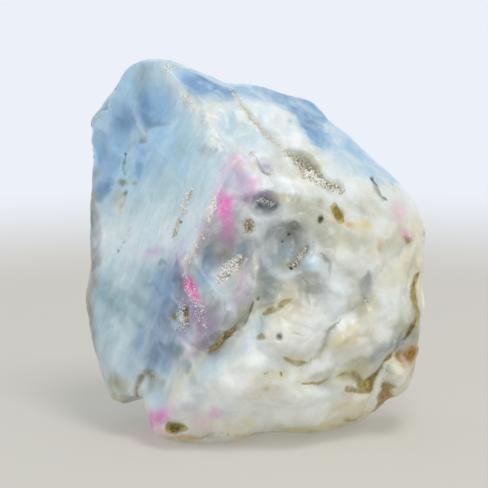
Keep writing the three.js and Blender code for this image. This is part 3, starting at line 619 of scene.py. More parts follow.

# Crisp stains, and among the dark ones painted shade in crevices: how ragged the edges of each kind are, and
# its marks, each after its strength
stone["stains"] = {
    "ochre": (0.8, (
        (0.8, stroke(8, (284, 357), (291, 360), (299, 362), (307, 361), soft=1)),
        (0.9, stroke(5, *lipLine)), (0.9, area(*web, soft=2)), (0.9, stroke(7, *webFoot)),
        (1, oval(346, 389, 4, 3)), (0.5, stroke(4, *webLine)),
        (1, stroke(11, (419, 273), (414, 281), (413, 290), (415, 306), soft=0.8)),
        (0.8, stroke(9, (416, 304), (416, 319), (413, 329), (402, 341))), (0.6, oval(260, 337, 8, 6)),
        (1, area(*brownSlot, soft=2)),
        (1, stroke(10, (263, 314), (272, 309), (280, 305), (290, 299), soft=0.7)),
        (0.8, stroke(10, (209, 350), (217, 343), (226, 336), (235, 328), soft=0.7)),
        (0.3, stroke(6, *bowlRim[3:6])),
        (1, area((330, 206), (335, 203), (340, 211), (344, 222), (339, 223), (334, 217), soft=1.6)),
        (1, oval(228, 276, 4, 3.4)), (1, oval(175.5, 428.5, 13, 6, 5, soft=0.4)),
        (0.8, stroke(8, (126, 190), (124, 200), (121, 213))), (0.7, oval(126, 98, 5, 3.4)),
        (0.4, stroke(6, *bladeLine)), (0.4, oval(380, 246, 4, 7, -20)),
        (0.3, stroke(7, (296, 154), (310, 162), (324, 176))), (0.6, oval(407, 239, 8, 6, 35)),
        (0.6, stroke(5, (344, 421), (352, 421), (362, 416))), (0.4, oval(321, 202, 5, 3)),
        (0.3, oval(342, 347, 4, 3)), (0.5, stroke(4, (105, 393), (112, 399), (122, 403), (130, 399))),
        (0.6, stroke(7, (190, 437), (206, 439), (222, 437))), (0.5, oval(294, 227, 6, 5, 30)),
        (0.3, stroke(3, (164, 386), (172, 378), (180, 368))), (0.5, stroke(5, (232, 330), (240, 320))),
        (0.6, stroke(4, (128, 396), (134, 388), (138, 380))), (0.4, stroke(4, (300, 433), (318, 431))),
        (0.8, oval(186, 316, 5, 11, -4)), (0.35, stroke(5, (366, 414), (376, 409), (388, 402))),
        (0.7, oval(173, 318, 4, 8, -25)),
    )),
    "orange": (0.5, (
        (1, area(*orangePit, soft=2.4)), (0.7, area(*brownSlot, soft=2)), (0.8, oval(403, 235, 5, 7, 30)),
        (0.8, oval(425, 234, 4, 6)), (0.35, stroke(4, (384, 411), (395, 404), (408, 396))),
    )),
    "brown": (0.6, (
        (0.5, stroke(4, (290, 359), (298, 362), (306, 361))), (0.6, oval(323, 343, 2, 2)),
        (0.8, oval(321, 219, 4, 6, 20)), (0.2, stroke(4, (318, 352), (324, 343), (328, 333))),
        (0.85, stroke(7, (415, 316), (413, 326), (408, 335), (400, 341))), (0.9, oval(345, 389, 3, 2.8)),
        (0.75, oval(175, 427, 12, 5, 6)), (0.5, oval(381, 405, 4, 6, 10)), (0.6, stroke(3, *footLine)),
        (0.4, oval(121, 183, 4, 3)), (0.4, oval(135, 184, 3, 2.4)), (0.25, stroke(4, *bladeLine)),
        (0.7, oval(355, 422, 5, 2, -15)), (0.3, stroke(2.4, *lipLine)),
        (0.6, stroke(3.4, (291, 222), (296, 223), (300, 229))), (0.6, oval(290, 235, 3, 2.2)),
        (0.6, oval(282, 242, 2.6, 2)), (0.8, oval(291, 267, 3, 2.4)), (0.8, oval(295, 264, 2.4, 2)),
        (0.8, oval(181, 222, 2.4, 3)), (0.6, oval(186, 314, 3, 9)),
        (0.5, stroke(3, (180, 226), (176, 234), (173, 240))), (0.6, oval(408, 239, 2.2, 4.6, -30)),
        (0.4, stroke(3, (258, 164), (262, 172), (269, 175))),
        (0.5, stroke(4, (196, 356), (199, 361), (193, 364))), (0.5, oval(147, 130, 2.4, 5)),
        (0.5, oval(125, 193, 3, 4)), (0.4, stroke(2.4, *lipCrack)), (0.4, stroke(2.4, *foldCrack)),
        (0.4, oval(317, 306, 4, 1.6)), (0.2, stroke(3, *bowlCrack)), (0.7, oval(173, 318, 2.4, 7, -25)),
        (0.6, oval(128.5, 400, 2, 4, 30)), (0.6, stroke(2.4, (286, 151), (294, 156), (302, 158))),
        (0.3, stroke(2, (371, 384), (378, 372))), (0.6, stroke(2.4, (329, 179), (336, 184), (341, 188))),
    )),
    "dark": (0.4, (
        (0.8, oval(310, 126, 3, 2)), (0.7, oval(279, 335, 6.4, 6)), (0.7, oval(258, 300, 2.4, 2.2)),
        (1, oval(281, 374, 2.6, 2.2)), (0.6, oval(272, 372, 2.2, 1.8)), (0.6, oval(287, 374, 2, 1.6)),
        (0.5, oval(161, 264, 3, 4, 20)), (0.8, oval(118, 251, 2.2, 3)), (0.9, stroke(3.6, *seamLine)),
        (1, oval(250, 240, 2, 1.8)), (0.7, oval(169, 106, 2.2, 2)), (0.6, oval(122, 126, 2.4, 2)),
        (0.7, oval(158, 419, 2, 1.8)), (0.8, oval(181, 411, 2, 1.8)), (0.35, stroke(7, *pitLine)),
        (0.3, oval(266, 210, 11, 4)), (0.6, oval(313, 242, 1.8, 1.8)), (0.5, oval(353, 285, 1.6, 2.4)),
        (0.5, oval(353, 291, 1.6, 1.6)), (0.8, oval(365, 298, 2, 1.8)), (0.7, oval(368, 302, 1.8, 1.8)),
        (0.5, oval(392, 185, 3, 2.4)), (0.5, oval(92, 282, 3, 4)), (0.8, oval(228, 434, 2.2, 2)),
        # these two dark strokes along the lobe's lower edge are painted shade in its crevice
        (0.4, stroke(3.4, (246, 317), (238, 325), (232, 331))),
        (0.6, stroke(3, (212, 351), (206, 356), (199, 361), taper=0.4)),
        (0.5, stroke(2, (131, 228), (124, 240), (118, 250))), (0.4, oval(97, 113, 4, 3)),
        (0.3, oval(101, 131, 3, 3)), (0.6, stroke(2, (133, 150), (126, 146), (118, 145))),
        (0.5, stroke(2, (395, 189), (401, 190))), (0.5, oval(96, 262, 2.4, 6)),
        (0.4, stroke(2, (144, 204), (136, 216), (128, 224))), (0.2, oval(214, 294, 2, 3)),
    )),
}
stainAndShadeColours = {  # two of each, that mix in patches
    "ochre": ((204, 186, 104), (148, 130, 50)), "orange": ((182, 140, 30), (134, 90, 0)),
    "brown": ((128, 110, 66), (80, 66, 36)), "dark": ((110, 114, 114), (76, 80, 84)),
}


# Mesh helpers

def placed(name, data):  # an object in the scene
    thing = bpy.data.objects.new(name, data)
    bpy.context.scene.collection.objects.link(thing)
    return thing


def pointsOf(mesh):
    points = np.empty(len(mesh.vertices) * 3, np.float32)
    mesh.vertices.foreach_get("co", points)
    return points.reshape(-1, 3).astype(float)


def normalsOf(mesh):
    normals = np.empty(len(mesh.vertices) * 3, np.float32)
    mesh.vertex_normals.foreach_get("vector", normals)
    return normals.reshape(-1, 3).astype(float)


def setPoints(mesh, points):
    mesh.vertices.foreach_set("co", points.astype(np.float32).ravel())
    mesh.update()


def keep(mesh, name, values):
    attribute = mesh.attributes.new(name, "FLOAT", "POINT")
    attribute.data.foreach_set("value", values.astype(np.float32))


def cellsOf(mesh):  # pairs of neighbouring points, and how many neighbours each point has
    ends = np.empty(len(mesh.edges) * 2, np.int32)
    mesh.edges.foreach_get("vertices", ends)
    pairs = ends.reshape(-1, 2)
    froms, tos = np.concatenate((pairs, pairs[:, ::-1])).T
    return froms, tos, np.bincount(froms)


def stretchOf(cells, front):  # how long the cells round each point are, against the usual
    froms, tos, neighbours = cells
    lengths = np.linalg.norm(front[froms] - front[tos], axis=1)
    return np.bincount(froms, lengths) / neighbours / np.median(lengths)


def blended(cells, values, share):  # each point's values moved by a share towards its neighbours' mean
    froms, tos, neighbours = cells
    sums = [np.bincount(froms, column[tos]) for column in values.T]
    return values + (np.stack(sums, axis=1) / neighbours[:, None] - values) * share[:, None]


def smoothed(mesh, front):  # evens out stretched cells on the front's steep walls, and the rest a little
    cells = cellsOf(mesh)
    evening = stone["evening"]
    frontal = fade(front[:, 2] / np.linalg.norm(front, axis=1), *evening["front"])
    for i in range(evening["rounds"]):
        share = 1 if i == 0 else fade(stretchOf(cells, front), *evening["stretch"])
        front = blended(cells, front, frontal * evening["share"] * share)
    return front


# The stone

def roundedSolid():  # the CAD stone with its blunt edges rounded, to be measured from its middle
    made = bmesh.new()
    made.from_mesh(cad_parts["opal"].data)
    bmesh.ops.remove_doubles(made, verts=made.verts, dist=1e-6)
    crease = made.edges.layers.float.new("crease_edge")
    for edge in made.edges:
        edge[crease] = float(fade(math.degrees(edge.calc_face_angle(0)), *stone["keptEdges"]))
    mesh = bpy.data.meshes.new("roundedSolid")
    made.to_mesh(mesh)
    made.free()
    piece = placed("roundedSolid", mesh)
    rounding = piece.modifiers.new("rounding", "SUBSURF")
    rounding.levels = 2
    tree = BVHTree.FromObject(piece, bpy.context.evaluated_depsgraph_get())
    bpy.data.objects.remove(piece)
    return tree


def waysOut(mesh):  # a direction for each point of the cube grid, closer together towards the eye
    ways = np.tan(pointsOf(mesh) * math.pi / 4)
    ways /= np.linalg.norm(ways, axis=1)[:, None]
    away = np.arccos(np.clip(ways[:, 2], -1, 1))  # angle from the front
    pulled = away + stone["frontPull"] * (math.pi * (away / math.pi) ** 4 - away)
    ways[:, :2] *= (np.sin(pulled) / np.maximum(np.sin(away), 1e-9))[:, None]
    ways[:, 2] = np.cos(pulled)
    return ways @ frontAxes


def opalMesh():  # the CAD stone, rounded and measured anew on a grid that is finer in front
    grid = bmesh.new()
    bmesh.ops.create_cube(grid, size=2)
    bmesh.ops.subdivide_edges(grid, edges=grid.edges, cuts=stone["gridCells"] - 1, use_grid_fill=True)
    mesh = bpy.data.meshes.new("opalStone")
    grid.to_mesh(mesh)
    grid.free()
    tree = roundedSolid()
    start = Vector(stoneMiddle * mm)
    points = [tree.ray_cast(start, Vector(way))[0] for way in waysOut(mesh).tolist()]
    setPoints(mesh, fromFront(smoothed(mesh, toFront(np.array(points)))))
    return placed("opalStone", mesh)


def chip(points, uneven, place, facing, width, depth):  # a shallow bite, about ball-shaped
    radius = (width ** 2 / 4 + depth ** 2) / (2 * depth)
    facing = np.array(facing) / np.linalg.norm(facing)
    centre = place + facing * (radius - depth)
    offset = points - centre
    reach = np.linalg.norm(offset, axis=1)
    bitten = radius + uneven * min(depth / stone["chipWander"][2], 1)
    inside = reach < bitten
    points[inside] = centre + offset[inside] * (bitten[inside] / reach[inside])[:, None]
    return inside


def breakChips(front, normals, facing, height):  # bites into front, and gives each broken face's tone
    size, tall, _ = stone["chipWander"]
    uneven = cloud(front, size, 3, shift=60) * tall
    seen = pixelsOf(front)
    for at, towards, width, depth in stone["chips"]:
        distance = np.where(facing > 0.05, np.hypot(*(seen - at).T), np.inf)
        chip(front, uneven, front[distance.argmin()].copy(), towards, width, depth)
    tones = np.zeros(len(front))
    spread = stone["backChips"]
    pick = np.random.default_rng(spread["seed"])
    hidden = np.flatnonzero((facing < -0.05) & (height > spread["lowest"]))
    for i in range(spread["count"]):
        start = hidden[pick.integers(len(hidden))]
        share = (i / spread["count"]) ** 0.6
        width = spread["widest"] + (spread["narrowest"] - spread["widest"]) * share
        towards = frontAxes @ normals[start] + pick.normal(0, spread["tilt"], 3)
        depth = width * spread["depth"] * pick.uniform(0.7, 1.2)
        inside = chip(front, uneven, front[start].copy(), towards, width, depth)
        tones[inside] += pick.uniform(-0.5, 0.5)
    return tones


def blueness(front, facing, seen):  # how blue each point is: the front as marked, the rest in broad clouds
    frontal = fade(facing, *stone["painted"])
    marked = np.maximum(area(*blueFace, soft=8)(seen), area(*topBand, soft=6)(seen))
    clouds = stone["blueClouds"]
    broad = cloud(front, clouds["size"], 3, shift=3) * clouds["depth"]
    broad += front[:, 1] / clouds["up"] - front[:, 0] / clouds["left"]
    return marked * frontal + fade(broad, *clouds["edge"]) * (1 - frontal)


def shapeStone(piece):
    mesh = piece.data
    normals = normalsOf(mesh)
    front = toFront(pointsOf(mesh))
    facing = normals @ toEye
    height = pointsOf(mesh)[:, 2] / mm  # over the underside
    tones = breakChips(front, normals, facing, height)

    size, shift = stone["wobble"]
    wander = np.stack((cloud(front, size, 3), cloud(front, size, 3, shift=31)), axis=1) * 2 * shift
    seen = pixelsOf(front) + wander
    sunk = sum(tall * mark(seen) for marks in stone["relief"].values() for tall, mark in marks)
    marksFull, bulgesFull = stone["footFades"]
    front[:, 2] += sunk * fade(facing, *stone["raised"]) * fade(height, 0, marksFull)
    front = smoothed(mesh, front)

    blue = blueness(front, facing, seen)
    size, bend = stone["rindBend"]
    bent = front + np.stack([cloud(front, size, 2, shift=shift) for shift in (5, 17, 29)], axis=1) * bend
    creases = [np.abs(cloud(bent, size, 2, shift=size)) for size, _ in stone["rindBulges"]]
    rise = sum(tall * (crease * 2 - 0.5) for crease, (_, tall) in zip(creases, stone["rindBulges"]))
    rise *= 1 - blue * (1 - stone["rindOnBlue"])
    lean = math.radians(stone["streakLean"])
    cos, sin = math.cos(lean), math.sin(lean)
    turned = front @ np.array(((cos, sin, 0), (-sin, cos, 0), (0, 0, 1)))
    size, tall = stone["streaks"]
    rise += tall * blue * cloud(turned, size, 3, stretch=stone["streakStretch"])
    size, tall = stone["grain"]
    rise += tall * cloud(front, size, 2, shift=50)
    front += (normals @ frontAxes.T) * (rise * fade(height, 0, bulgesFull))[:, None]

    low, high = (np.array(corner) for corner in cadBox)
    setPoints(mesh, np.clip(fromFront(front), low, high))
    for polygon in mesh.polygons:
        polygon.use_smooth = True
    return {"front": front, "seen": seen, "facing": facing, "blue": blue, "tones": tones,
            "creases": creases[0], "turned": turned}


def linear(colour):  # 0 to 255 as seen, to the light that it stands for
    shares = np.asarray(colour) / 255
    return np.where(shares <= 0.04045, shares / 12.92, ((shares + 0.055) / 1.055) ** 2.4)


def solid(colour):
    return tuple(linear(colour)) + (1,)


def paintOf(shape, patches, breaks):  # colours from 0 to 255, the front as marked and the back in clouds
    front, blue = shape["front"], shape["blue"]
    frontal = fade(shape["facing"], *stone["painted"])
    behind = 1 - frontal
    rind = 1 - blue
    colour = np.tile(np.array(colours["bone"], float), (len(front), 1))

    def brush(name, amount):
        colour[:] += (np.array(colours[name]) - colour) * np.clip(amount, 0, 1)[:, None]

    broad = cloud(front, 9, 3, shift=90)
    clouds = {"butter": broad, "moss": patches, "milk": broad}
    for name, (strength, start, full) in stone["rindTints"].items():
        brush(name, strength * fade(clouds[name], start, full) * rind)
    brush("aqua", behind * fade(blue, 0.05, 0.5))
    for name, (strength, patchy, chipped) in stone["backBlues"].items():
        brush(name, behind * blue * (strength + patches * patchy + shape["tones"] * chipped))
    strength, width = stone["backVeins"]
    brush("snow", behind * blue * fade(shape["creases"], width, 0) * strength)

    size, spread = stone["ragged"]
    shifts = [cloud(front, size, 3, shift=shift) for shift in (11, 47)]
    seen = shape["seen"] + np.stack(shifts, axis=1) * 2 * spread
    size, depth = stone["patchy"]
    streaky = [cloud(shape["turned"], size * 0.4, 4, stretch=(1, 6, 2), shift=shift) for shift in (290, 320)]
    for group, marks in stone["paint"].items():
        uneven = breaks + streaky if group in ("blue faces", "top left", "top right") else breaks
        for i, (name, amount, mark) in enumerate(marks):
            brush(name, amount * mark(seen) * (1 + depth * uneven[i % len(uneven)]) * frontal)
    return colour


def stainsOf(shape, patches, breaks):  # from 0 to 1, the front as marked and the back in the rind's seams
    frontal = fade(shape["facing"], *stone["painted"])
    usual, least = stone["stainAndShadeBreakup"]
    worn = [np.clip(usual + broken, least, 1) for broken in breaks]
    stains = {}
    for name, (_, marks) in stone["stains"].items():
        clear = np.ones(len(frontal))
        for i, (amount, mark) in enumerate(marks):
            clear *= 1 - amount * mark(shape["seen"]) * worn[i % len(worn)]
        stains[name] = (1 - clear) * frontal
    clouds = {"ochre": patches, "orange": cloud(shape["front"], 5, 3, shift=140), "brown": patches}
    for name, (width, start, full, strength) in stone["seamStains"].items():
        seams = fade(shape["creases"], width, 0) * (1 - shape["blue"])
        stains[name] += seams * fade(clouds[name], start, full) * strength * (1 - frontal)
    return stains


def paintStone(piece, shape):
    mesh, front = piece.data, shape["front"]
    patches = cloud(front, 5, 3, shift=70)
    breaks = [cloud(front, stone["patchy"][0], 4, shift=shift) for shift in (200, 230, 260)]
    stains = stainsOf(shape, patches, breaks)
    values = np.column_stack((paintOf(shape, patches, breaks), *stains.values()))
    cells = cellsOf(mesh)
    blending = stone["blending"]
    steep = blending["share"] * fade(stretchOf(cells, front), *blending["stretch"])
    for i in range(blending["rounds"]):
        values = blended(cells, values, steep)
    for name, column in zip(("red", "green", "blue"), linear(values[:, :3]).T):
        keep(mesh, name, column)
    for name, column in zip(stains, values[:, 3:].T):
        keep(mesh, name, column)
    keep(mesh, "blueness", shape["blue"])


# Materials

class Wire:  # a socket that can be added to, multiplied and so on
    def __init__(self, shader, socket):
        self.shader = shader
        self.socket = socket

    def maths(self, operation, first, second):
        return self.shader.add("ShaderNodeMath", {"operation": operation}, {0: first, 1: second})

    def __add__(self, other):
        return self.maths("ADD", self, other)

    __radd__ = __add__

    def __sub__(self, other):
        return self.maths("SUBTRACT", self, other)

    def __rsub__(self, other):
        return self.maths("SUBTRACT", other, self)

    def __mul__(self, other):
        return self.maths("MULTIPLY", self, other)

    __rmul__ = __mul__


class Shader:  # a node tree and the nodes in it
    def __init__(self, owner):
        owner.use_nodes = True
        self.owner = owner
        self.tree = owner.node_tree

    def add(self, kind, settings=None, sockets=None, output=0):
        node = self.tree.nodes.new(kind)
        for name, value in (settings or {}).items():
            setattr(node, name, value)
        self.fill(node, sockets or {})
        return Wire(self, node.outputs[output])

    def fill(self, node, sockets):
        for name, value in sockets.items():
            if isinstance(value, Wire):
                self.tree.links.new(value.socket, node.inputs[name])
            else:
                node.inputs[name].default_value = value

    def finish(self, sockets):  # fills the surface
        self.fill(self.tree.nodes["Principled BSDF"], sockets)
        return self.owner

    def mask(self, name):
        return self.add("ShaderNodeAttribute", {"attribute_name": name}, output="Fac")

    def noise(self, place, size, detail=3, rough=0.55, bend=0):  # from 0 to 1, size in mm
        sockets = {"Vector": place, "Scale": 1 / (size * mm), "Detail": detail, "Roughness": rough}
        return self.add("ShaderNodeTexNoise", {}, sockets | {"Distortion": bend})

    def ramp(self, value, low, high):  # smoothly from 0 at low to 1 at high
        return self.add("ShaderNodeMapRange", {"interpolation_type": "SMOOTHSTEP"},
                        {"Value": value, "From Min": low, "From Max": high})

    def layer(self, place, grain, start, end, strength=1):  # noise that shows from start on
        return self.ramp(self.noise(place, *grain), start, end) * strength

    def blend(self, amount, first, second, kind="MIX"):
        return self.add("ShaderNodeMix", {"data_type": "RGBA", "blend_type": kind},
                        {0: amount, 6: first, 7: second}, 2)


opalFinish = {
    "roughness": 0.34, "rindRoughness": 0.08,  # the rind is duller than the blue
    "subsurface": 0.4, "reach": 0.7,  # mm that light travels in the stone
    "coat": 0.2,
    "streaks": ((1, 5, 0.6, 0.5), 0.4),  # the noise's size in mm, detail, roughness and bend, and its depth
    "mottle": ((2.4, 5, 0.6, 0.4), (0.45, 3), 0.12),  # the same for a coarse and a fine noise
    # white veils, dark streaks in the blue, brown specks, and the patches in which the tones of the stains
    # and painted shade mix:
    # the noise, where on it they start and are full, and their strength
    "veils": ((2.6, 6, 0.68, 0.5), 0.5, 0.68, 0.3), "lines": ((0.5, 4, 0.6, 0.3), 0.58, 0.72, 0.4),
    "specks": ((0.4, 2), 0.68, 0.76, 0.3), "patches": ((0.8, 4, 0.6), 0.35, 0.65),
    "ragged": (0.5, 5, 0.7), "edge": (0.1, 0.95),  # the noise of the edges of the stains and painted shade, and their mask's fade
    "rim": 1.6,  # how dark the ochre's rim is
    "bump": (0.5, 0.12),  # strength, and height in mm
    # the bump's small and large noise, and the share of the small one and of the streaks
    "fine": ((0.28, 4, 0.6), (1.1, 3), 0.6),
}


def opalMaterial():
    shader = Shader(bpy.data.materials.new("blueOpal"))
    place = shader.add("ShaderNodeTexCoord", output="Object")
    blue = shader.mask("blueness")
    channels = {i: shader.mask(name) for i, name in enumerate(("red", "green", "blue"))}
    colour = shader.add("ShaderNodeCombineColor", {}, channels)
    lean = {"Rotation": (0, math.radians(stone["streakLean"]), 0), "Scale": (1, 1, 6)}
    along = shader.add("ShaderNodeMapping", {"vector_type": "TEXTURE"}, {"Vector": place} | lean)
    grain, depth = opalFinish["streaks"]
    streaks = shader.noise(along, *grain)
    shade = (streaks - 0.5) * blue * depth
    coarse, fine, depth = opalFinish["mottle"]
    mottle = (shader.noise(place, *coarse) - 0.5) * 1.6 + shader.noise(place, *fine) - 0.5
    shade = shade + mottle * depth + 1
    grey = shader.add("ShaderNodeCombineColor", {}, {0: shade, 1: shade, 2: shade})
    colour = shader.blend(1, colour, grey, "MULTIPLY")
    veils = shader.layer(place, *opalFinish["veils"]) * (1 - blue * 0.6)
    colour = shader.blend(veils, colour, solid(colours["snow"]))
    lines = shader.layer(along, *opalFinish["lines"]) * blue
    colour = shader.blend(lines, colour, solid(colours["teal"]))
    colour = shader.blend(shader.layer(place, *opalFinish["specks"]), colour, solid(colours["olive"]))
    ragged = shader.noise(place, *opalFinish["ragged"]) - 0.5
    patches = shader.layer(place, *opalFinish["patches"])
    for name, (loose, _) in stone["stains"].items():
        mask = shader.mask(name)
        edge = shader.ramp(mask + ragged * mask * loose * 2, *opalFinish["edge"])
        stain = shader.blend(patches, *(solid(tone) for tone in stainAndShadeColours[name]))
        colour = shader.blend(edge, colour, stain)
        if name == "ochre":  # darker along its rim
            rim = edge * (1 - edge) * opalFinish["rim"]
            colour = shader.blend(rim, colour, solid(stainAndShadeColours["brown"][0]))
    small, large, share = opalFinish["fine"]
    fine = shader.noise(place, *small) * share + shader.noise(place, *large) + streaks * blue * share
    strength, tall = opalFinish["bump"]
    bump = shader.add("ShaderNodeBump", {}, {"Strength": strength, "Distance": tall * mm, "Height": fine})
    rough = (1 - blue) * opalFinish["rindRoughness"] + opalFinish["roughness"] + (fine - 0.8) * 0.15
    return shader.finish({
        "Base Color": colour, "Roughness": rough, "Normal": bump, "IOR": 1.45,
        "Subsurface Weight": opalFinish["subsurface"], "Subsurface Radius": (1, 1.1, 1.3),
        "Subsurface Scale": opalFinish["reach"] * mm,
        "Coat Weight": opalFinish["coat"], "Coat Roughness": 0.15,
    })


print("stone: shaping")
opalStone = opalMesh()
stoneShape = shapeStone(opalStone)
print("stone: painting", len(opalStone.data.vertices), "points")
paintStone(opalStone, stoneShape)
opalStone.data.materials.append(opalMaterial())
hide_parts("opal")
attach(opalStone, "root")

crystals = {
    "seed": 7,
    "sides": 6,
    "widths": (0.5, 1.2),  # least and most, as shares of their patch's radius
    # least and most, and the others below, as shares of the crystal's own radius
    "heights": (0.8, 4.5), "sunk": 0.4, "top": 0.9, "point": 0.6, "pointShift": 0.3,
    "flattest": 0.75,  # 1 is round
    "tilt": 0.8,  # of their lean away from the ground's normal
    "strewn": 0.08,  # mm that they lie off the points that they are picked from
    "browning": 0.2,  # how much their brown strays
    "white": (248, 247, 242), "cream": (222, 212, 178), "brown": (116, 100, 58),
    # where they grow, how many, their radius in mm and how brown they are from 0 to 1
    "patches": (
        (stroke(17, (217, 281), (224, 274), (232, 265), (240, 257)), 300, 0.11, 0),
        (stroke(15, *troughLine), 380, 0.11, 0.5),
        (stroke(8, (304, 172), (320, 182), (342, 192)), 170, 0.16, 0),
        (stroke(9, *crestLine[2:]), 110, 0.07, 0),
        (stroke(11, (215, 196), (211, 210), (208, 223)), 260, 0.09, 0),
        (stroke(8, (192, 189), (187, 201), (183, 213)), 170, 0.09, 0.1),
        (stroke(6, (181, 222), (177, 231), (173, 240)), 90, 0.09, 0.5),
        (stroke(16, (185, 276), (190, 288), (197, 304), (205, 326)), 220, 0.07, 0),
        (stroke(8, *crackLine), 190, 0.07, 0.1), (oval(265, 202, 11, 4), 90, 0.1, 0.1),
        (oval(247, 226, 7, 10, 10), 110, 0.09, 0.6), (stroke(7, *bowlRim[2:6]), 90, 0.08, 0.2),
        (stroke(7, (216, 345), (224, 338), (232, 330)), 60, 0.07, 0.85),
        (stroke(7, *bladeLine), 60, 0.07, 0.5),
        (oval(182, 320, 11, 24), 130, 0.07, 0.1), (oval(188, 101, 12, 7, 35), 90, 0.07, 0.1),
        (oval(167, 68, 10, 6), 70, 0.07, 0), (oval(366, 300, 4, 4), 16, 0.08, 0.4),
        (stroke(8, (284, 372), (272, 373), (262, 372)), 30, 0.07, 0.5),
        (stroke(12, *ridgeLine[3:]), 160, 0.06, 0), (oval(270, 172, 8, 6), 50, 0.07, 0.2),
        (oval(251, 154, 4, 7, 10), 40, 0.07, 0.2),
    ),
}


def crystalCorners(pick, ground, normal, radius):  # a leaning column: a ring, a ring above it and a point
    across = radius * pick.uniform(*crystals["widths"]) * mm
    up = Vector(normal + pick.normal(0, crystals["tilt"], 3)).normalized()
    side = up.orthogonal().normalized()
    front = up.cross(side)
    tall = across * pick.uniform(*crystals["heights"])
    foot = Vector(ground + pick.normal(0, crystals["strewn"] * mm, 3)) - up * across * crystals["sunk"]
    sides = crystals["sides"]
    turns = np.arange(sides) * 2 * math.pi / sides + pick.uniform(0, math.pi)
    squeeze = pick.uniform(crystals["flattest"], 1)
    outs = [side * math.cos(turn) + front * math.sin(turn) * squeeze for turn in turns]
    levels = ((0, 1), (tall, crystals["top"]))
    rings = [foot + out * across * wide + up * lift for lift, wide in levels for out in outs]
    shift = across * pick.uniform(-crystals["pointShift"], crystals["pointShift"])
    return rings + [foot + up * (tall + across * crystals["point"]) + side * shift]


def crystalFaces(first):  # the walls, slopes and foot on the corners from the first on
    sides = crystals["sides"]
    top = first + 2 * sides
    faces = [tuple(range(first + sides - 1, first - 1, -1))]
    for i in range(sides):
        low, beside = first + i, first + (i + 1) % sides
        faces.append((low, beside, beside + sides, low + sides))
        faces.append((low + sides, beside + sides, top))
    return faces


def growCrystals(shape):
    pick = np.random.default_rng(crystals["seed"])
    ground = pointsOf(opalStone.data)
    normals = normalsOf(opalStone.data)
    corners, faces, browns = [], [], []
    for where, count, radius, brown in crystals["patches"]:
        weight = where(shape["seen"]) * (shape["facing"] > 0.1)
        for spot in pick.choice(len(weight), count, p=weight / weight.sum()):
            grown = crystalCorners(pick, ground[spot], normals[spot], radius)
            faces += crystalFaces(len(corners))
            corners += grown
            browns += [min(max(brown + pick.normal(0, crystals["browning"]), 0), 1)] * len(grown)
    mesh = bpy.data.meshes.new("sugaryCrystals")
    mesh.from_pydata(corners, [], faces)
    keep(mesh, "brown", np.array(browns))
    return placed("sugaryCrystals", mesh)


def crystalMaterial():
    shader = Shader(bpy.data.materials.new("sugar"))
    place = shader.add("ShaderNodeTexCoord", output="Object")
    brown = shader.mask("brown")
    white, cream, dark = (solid(crystals[name]) for name in ("white", "cream", "brown"))
    colour = shader.blend(shader.ramp(brown, 0.1, 0.6), white, cream)
    colour = shader.blend(shader.ramp(brown, 0.5, 1), colour, dark)
    cloudy = shader.noise(place, 0.3, 2)
    return shader.finish({
        "Base Color": colour, "Roughness": cloudy * 0.15 + 0.1, "IOR": 1.54,
        "Coat Weight": 0.3, "Coat Roughness": 0.05,
    })


print("crystals: growing")
sugaryCrystals = growCrystals(stoneShape)
sugaryCrystals.data.materials.append(crystalMaterial())
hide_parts("opal")
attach(sugaryCrystals, "root")

# Floor, light and camera
setting = {
    "floorRadius": 4000,  # mm
    "floorSides": 64,
    "bed": ((172, 170, 162), 100, 190),  # colour near the stone, and mm over which it turns into the backdrop
    "bedGlow": (138, 136, 132),  # light that comes up through the bed
    "backdrop": (236, 240, 248),
    "sky": (238, 240, 245),
    "fill": 1.25,  # strength of the light from all round
    "overhead": (0.2, 0.7, 0.45),  # it dims from and to these heights, down to this share
    "key": {"place": (120, -220, 580), "size": 260, "watts": 1.4, "colour": (1, 0.985, 0.96)},  # mm
}


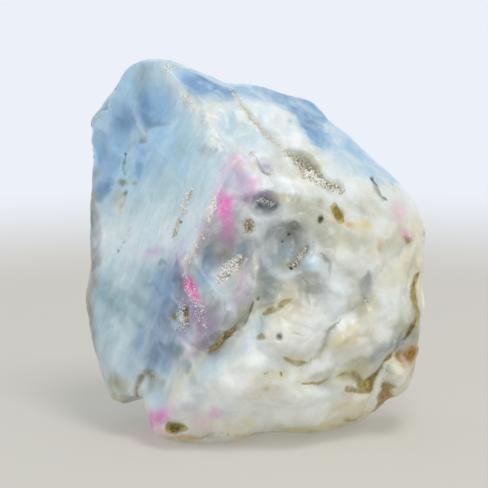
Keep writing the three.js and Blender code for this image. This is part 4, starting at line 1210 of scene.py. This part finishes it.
def makeFloor():
    mesh = bpy.data.meshes.new("floor")
    reach = setting["floorRadius"] * mm
    sides = setting["floorSides"]
    turns = [i * 2 * math.pi / sides for i in range(sides)]
    rim = [(math.cos(turn) * reach, math.sin(turn) * reach, 0) for turn in turns]
    mesh.from_pydata(rim, [], [tuple(range(sides))])
    floor = placed("floor", mesh)
    shader = Shader(bpy.data.materials.new("paleFloor"))
    place = shader.add("ShaderNodeTexCoord", output="Object")
    distance = shader.add("ShaderNodeVectorMath", {"operation": "LENGTH"}, {0: place}, "Value")
    bed, start, end = setting["bed"]
    beyond = shader.ramp(distance, start * mm, end * mm)
    colour = shader.blend(beyond, solid(bed), (0, 0, 0, 1))
    glow = shader.blend(beyond, solid(setting["bedGlow"]), solid(setting["backdrop"]))
    mesh.materials.append(shader.finish({
        "Base Color": colour, "Roughness": 0.9, "Specular IOR Level": 0, "Emission Color": glow,
        "Emission Strength": 1,
    }))
    floor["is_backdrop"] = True


def makeLight():
    world = bpy.data.worlds.new("studio")
    bpy.context.scene.world = world
    shader = Shader(world)
    way = shader.add("ShaderNodeTexCoord", output="Generated")
    height = shader.add("ShaderNodeSeparateXYZ", {}, {0: way}, "Z")
    start, end, dim = setting["overhead"]
    strength = (1 - shader.ramp(height, start, end) * (1 - dim)) * setting["fill"]
    shader.fill(world.node_tree.nodes["Background"], {"Color": solid(setting["sky"]), "Strength": strength})
    key = setting["key"]
    lamp = bpy.data.lights.new("key", "AREA")
    lamp.shape = "DISK"
    lamp.size = key["size"] * mm
    lamp.energy = key["watts"]
    lamp.color = key["colour"]
    stand = placed("key", lamp)
    stand.location = Vector(key["place"]) * mm
    aim = Vector(stoneMiddle * mm) - stand.location
    stand.rotation_euler = aim.to_track_quat("-Z", "Y").to_euler()


def makeCamera():
    lens = bpy.data.cameras.new("camera")
    lens.sensor_width = view["sensor"]
    lens.lens = view["sensor"] * view["distance"] / (view["pixels"] * view["pixelSize"])
    lens.clip_start = view["nearest"] * mm
    lens.clip_end = view["farthest"] * mm
    camera = placed("camera", lens)
    half = view["pixels"] / 2
    across = (half - view["middlePixel"][0]) * view["pixelSize"]
    up = (view["middlePixel"][1] - half) * view["pixelSize"]
    camera.location = fromFront(np.array((across, up, view["distance"])))
    camera.rotation_euler = (math.radians(90) - lookDown, 0, 0)
    bpy.context.scene.camera = camera


print("setting: floor, light and camera")
makeFloor()
makeLight()
makeCamera()
bpy.context.scene.view_settings.view_transform = "Standard"

boxes = {"cad": cadBox, "visual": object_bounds()}
{name: [list(corner) for corner in box] for name, box in boxes.items()}
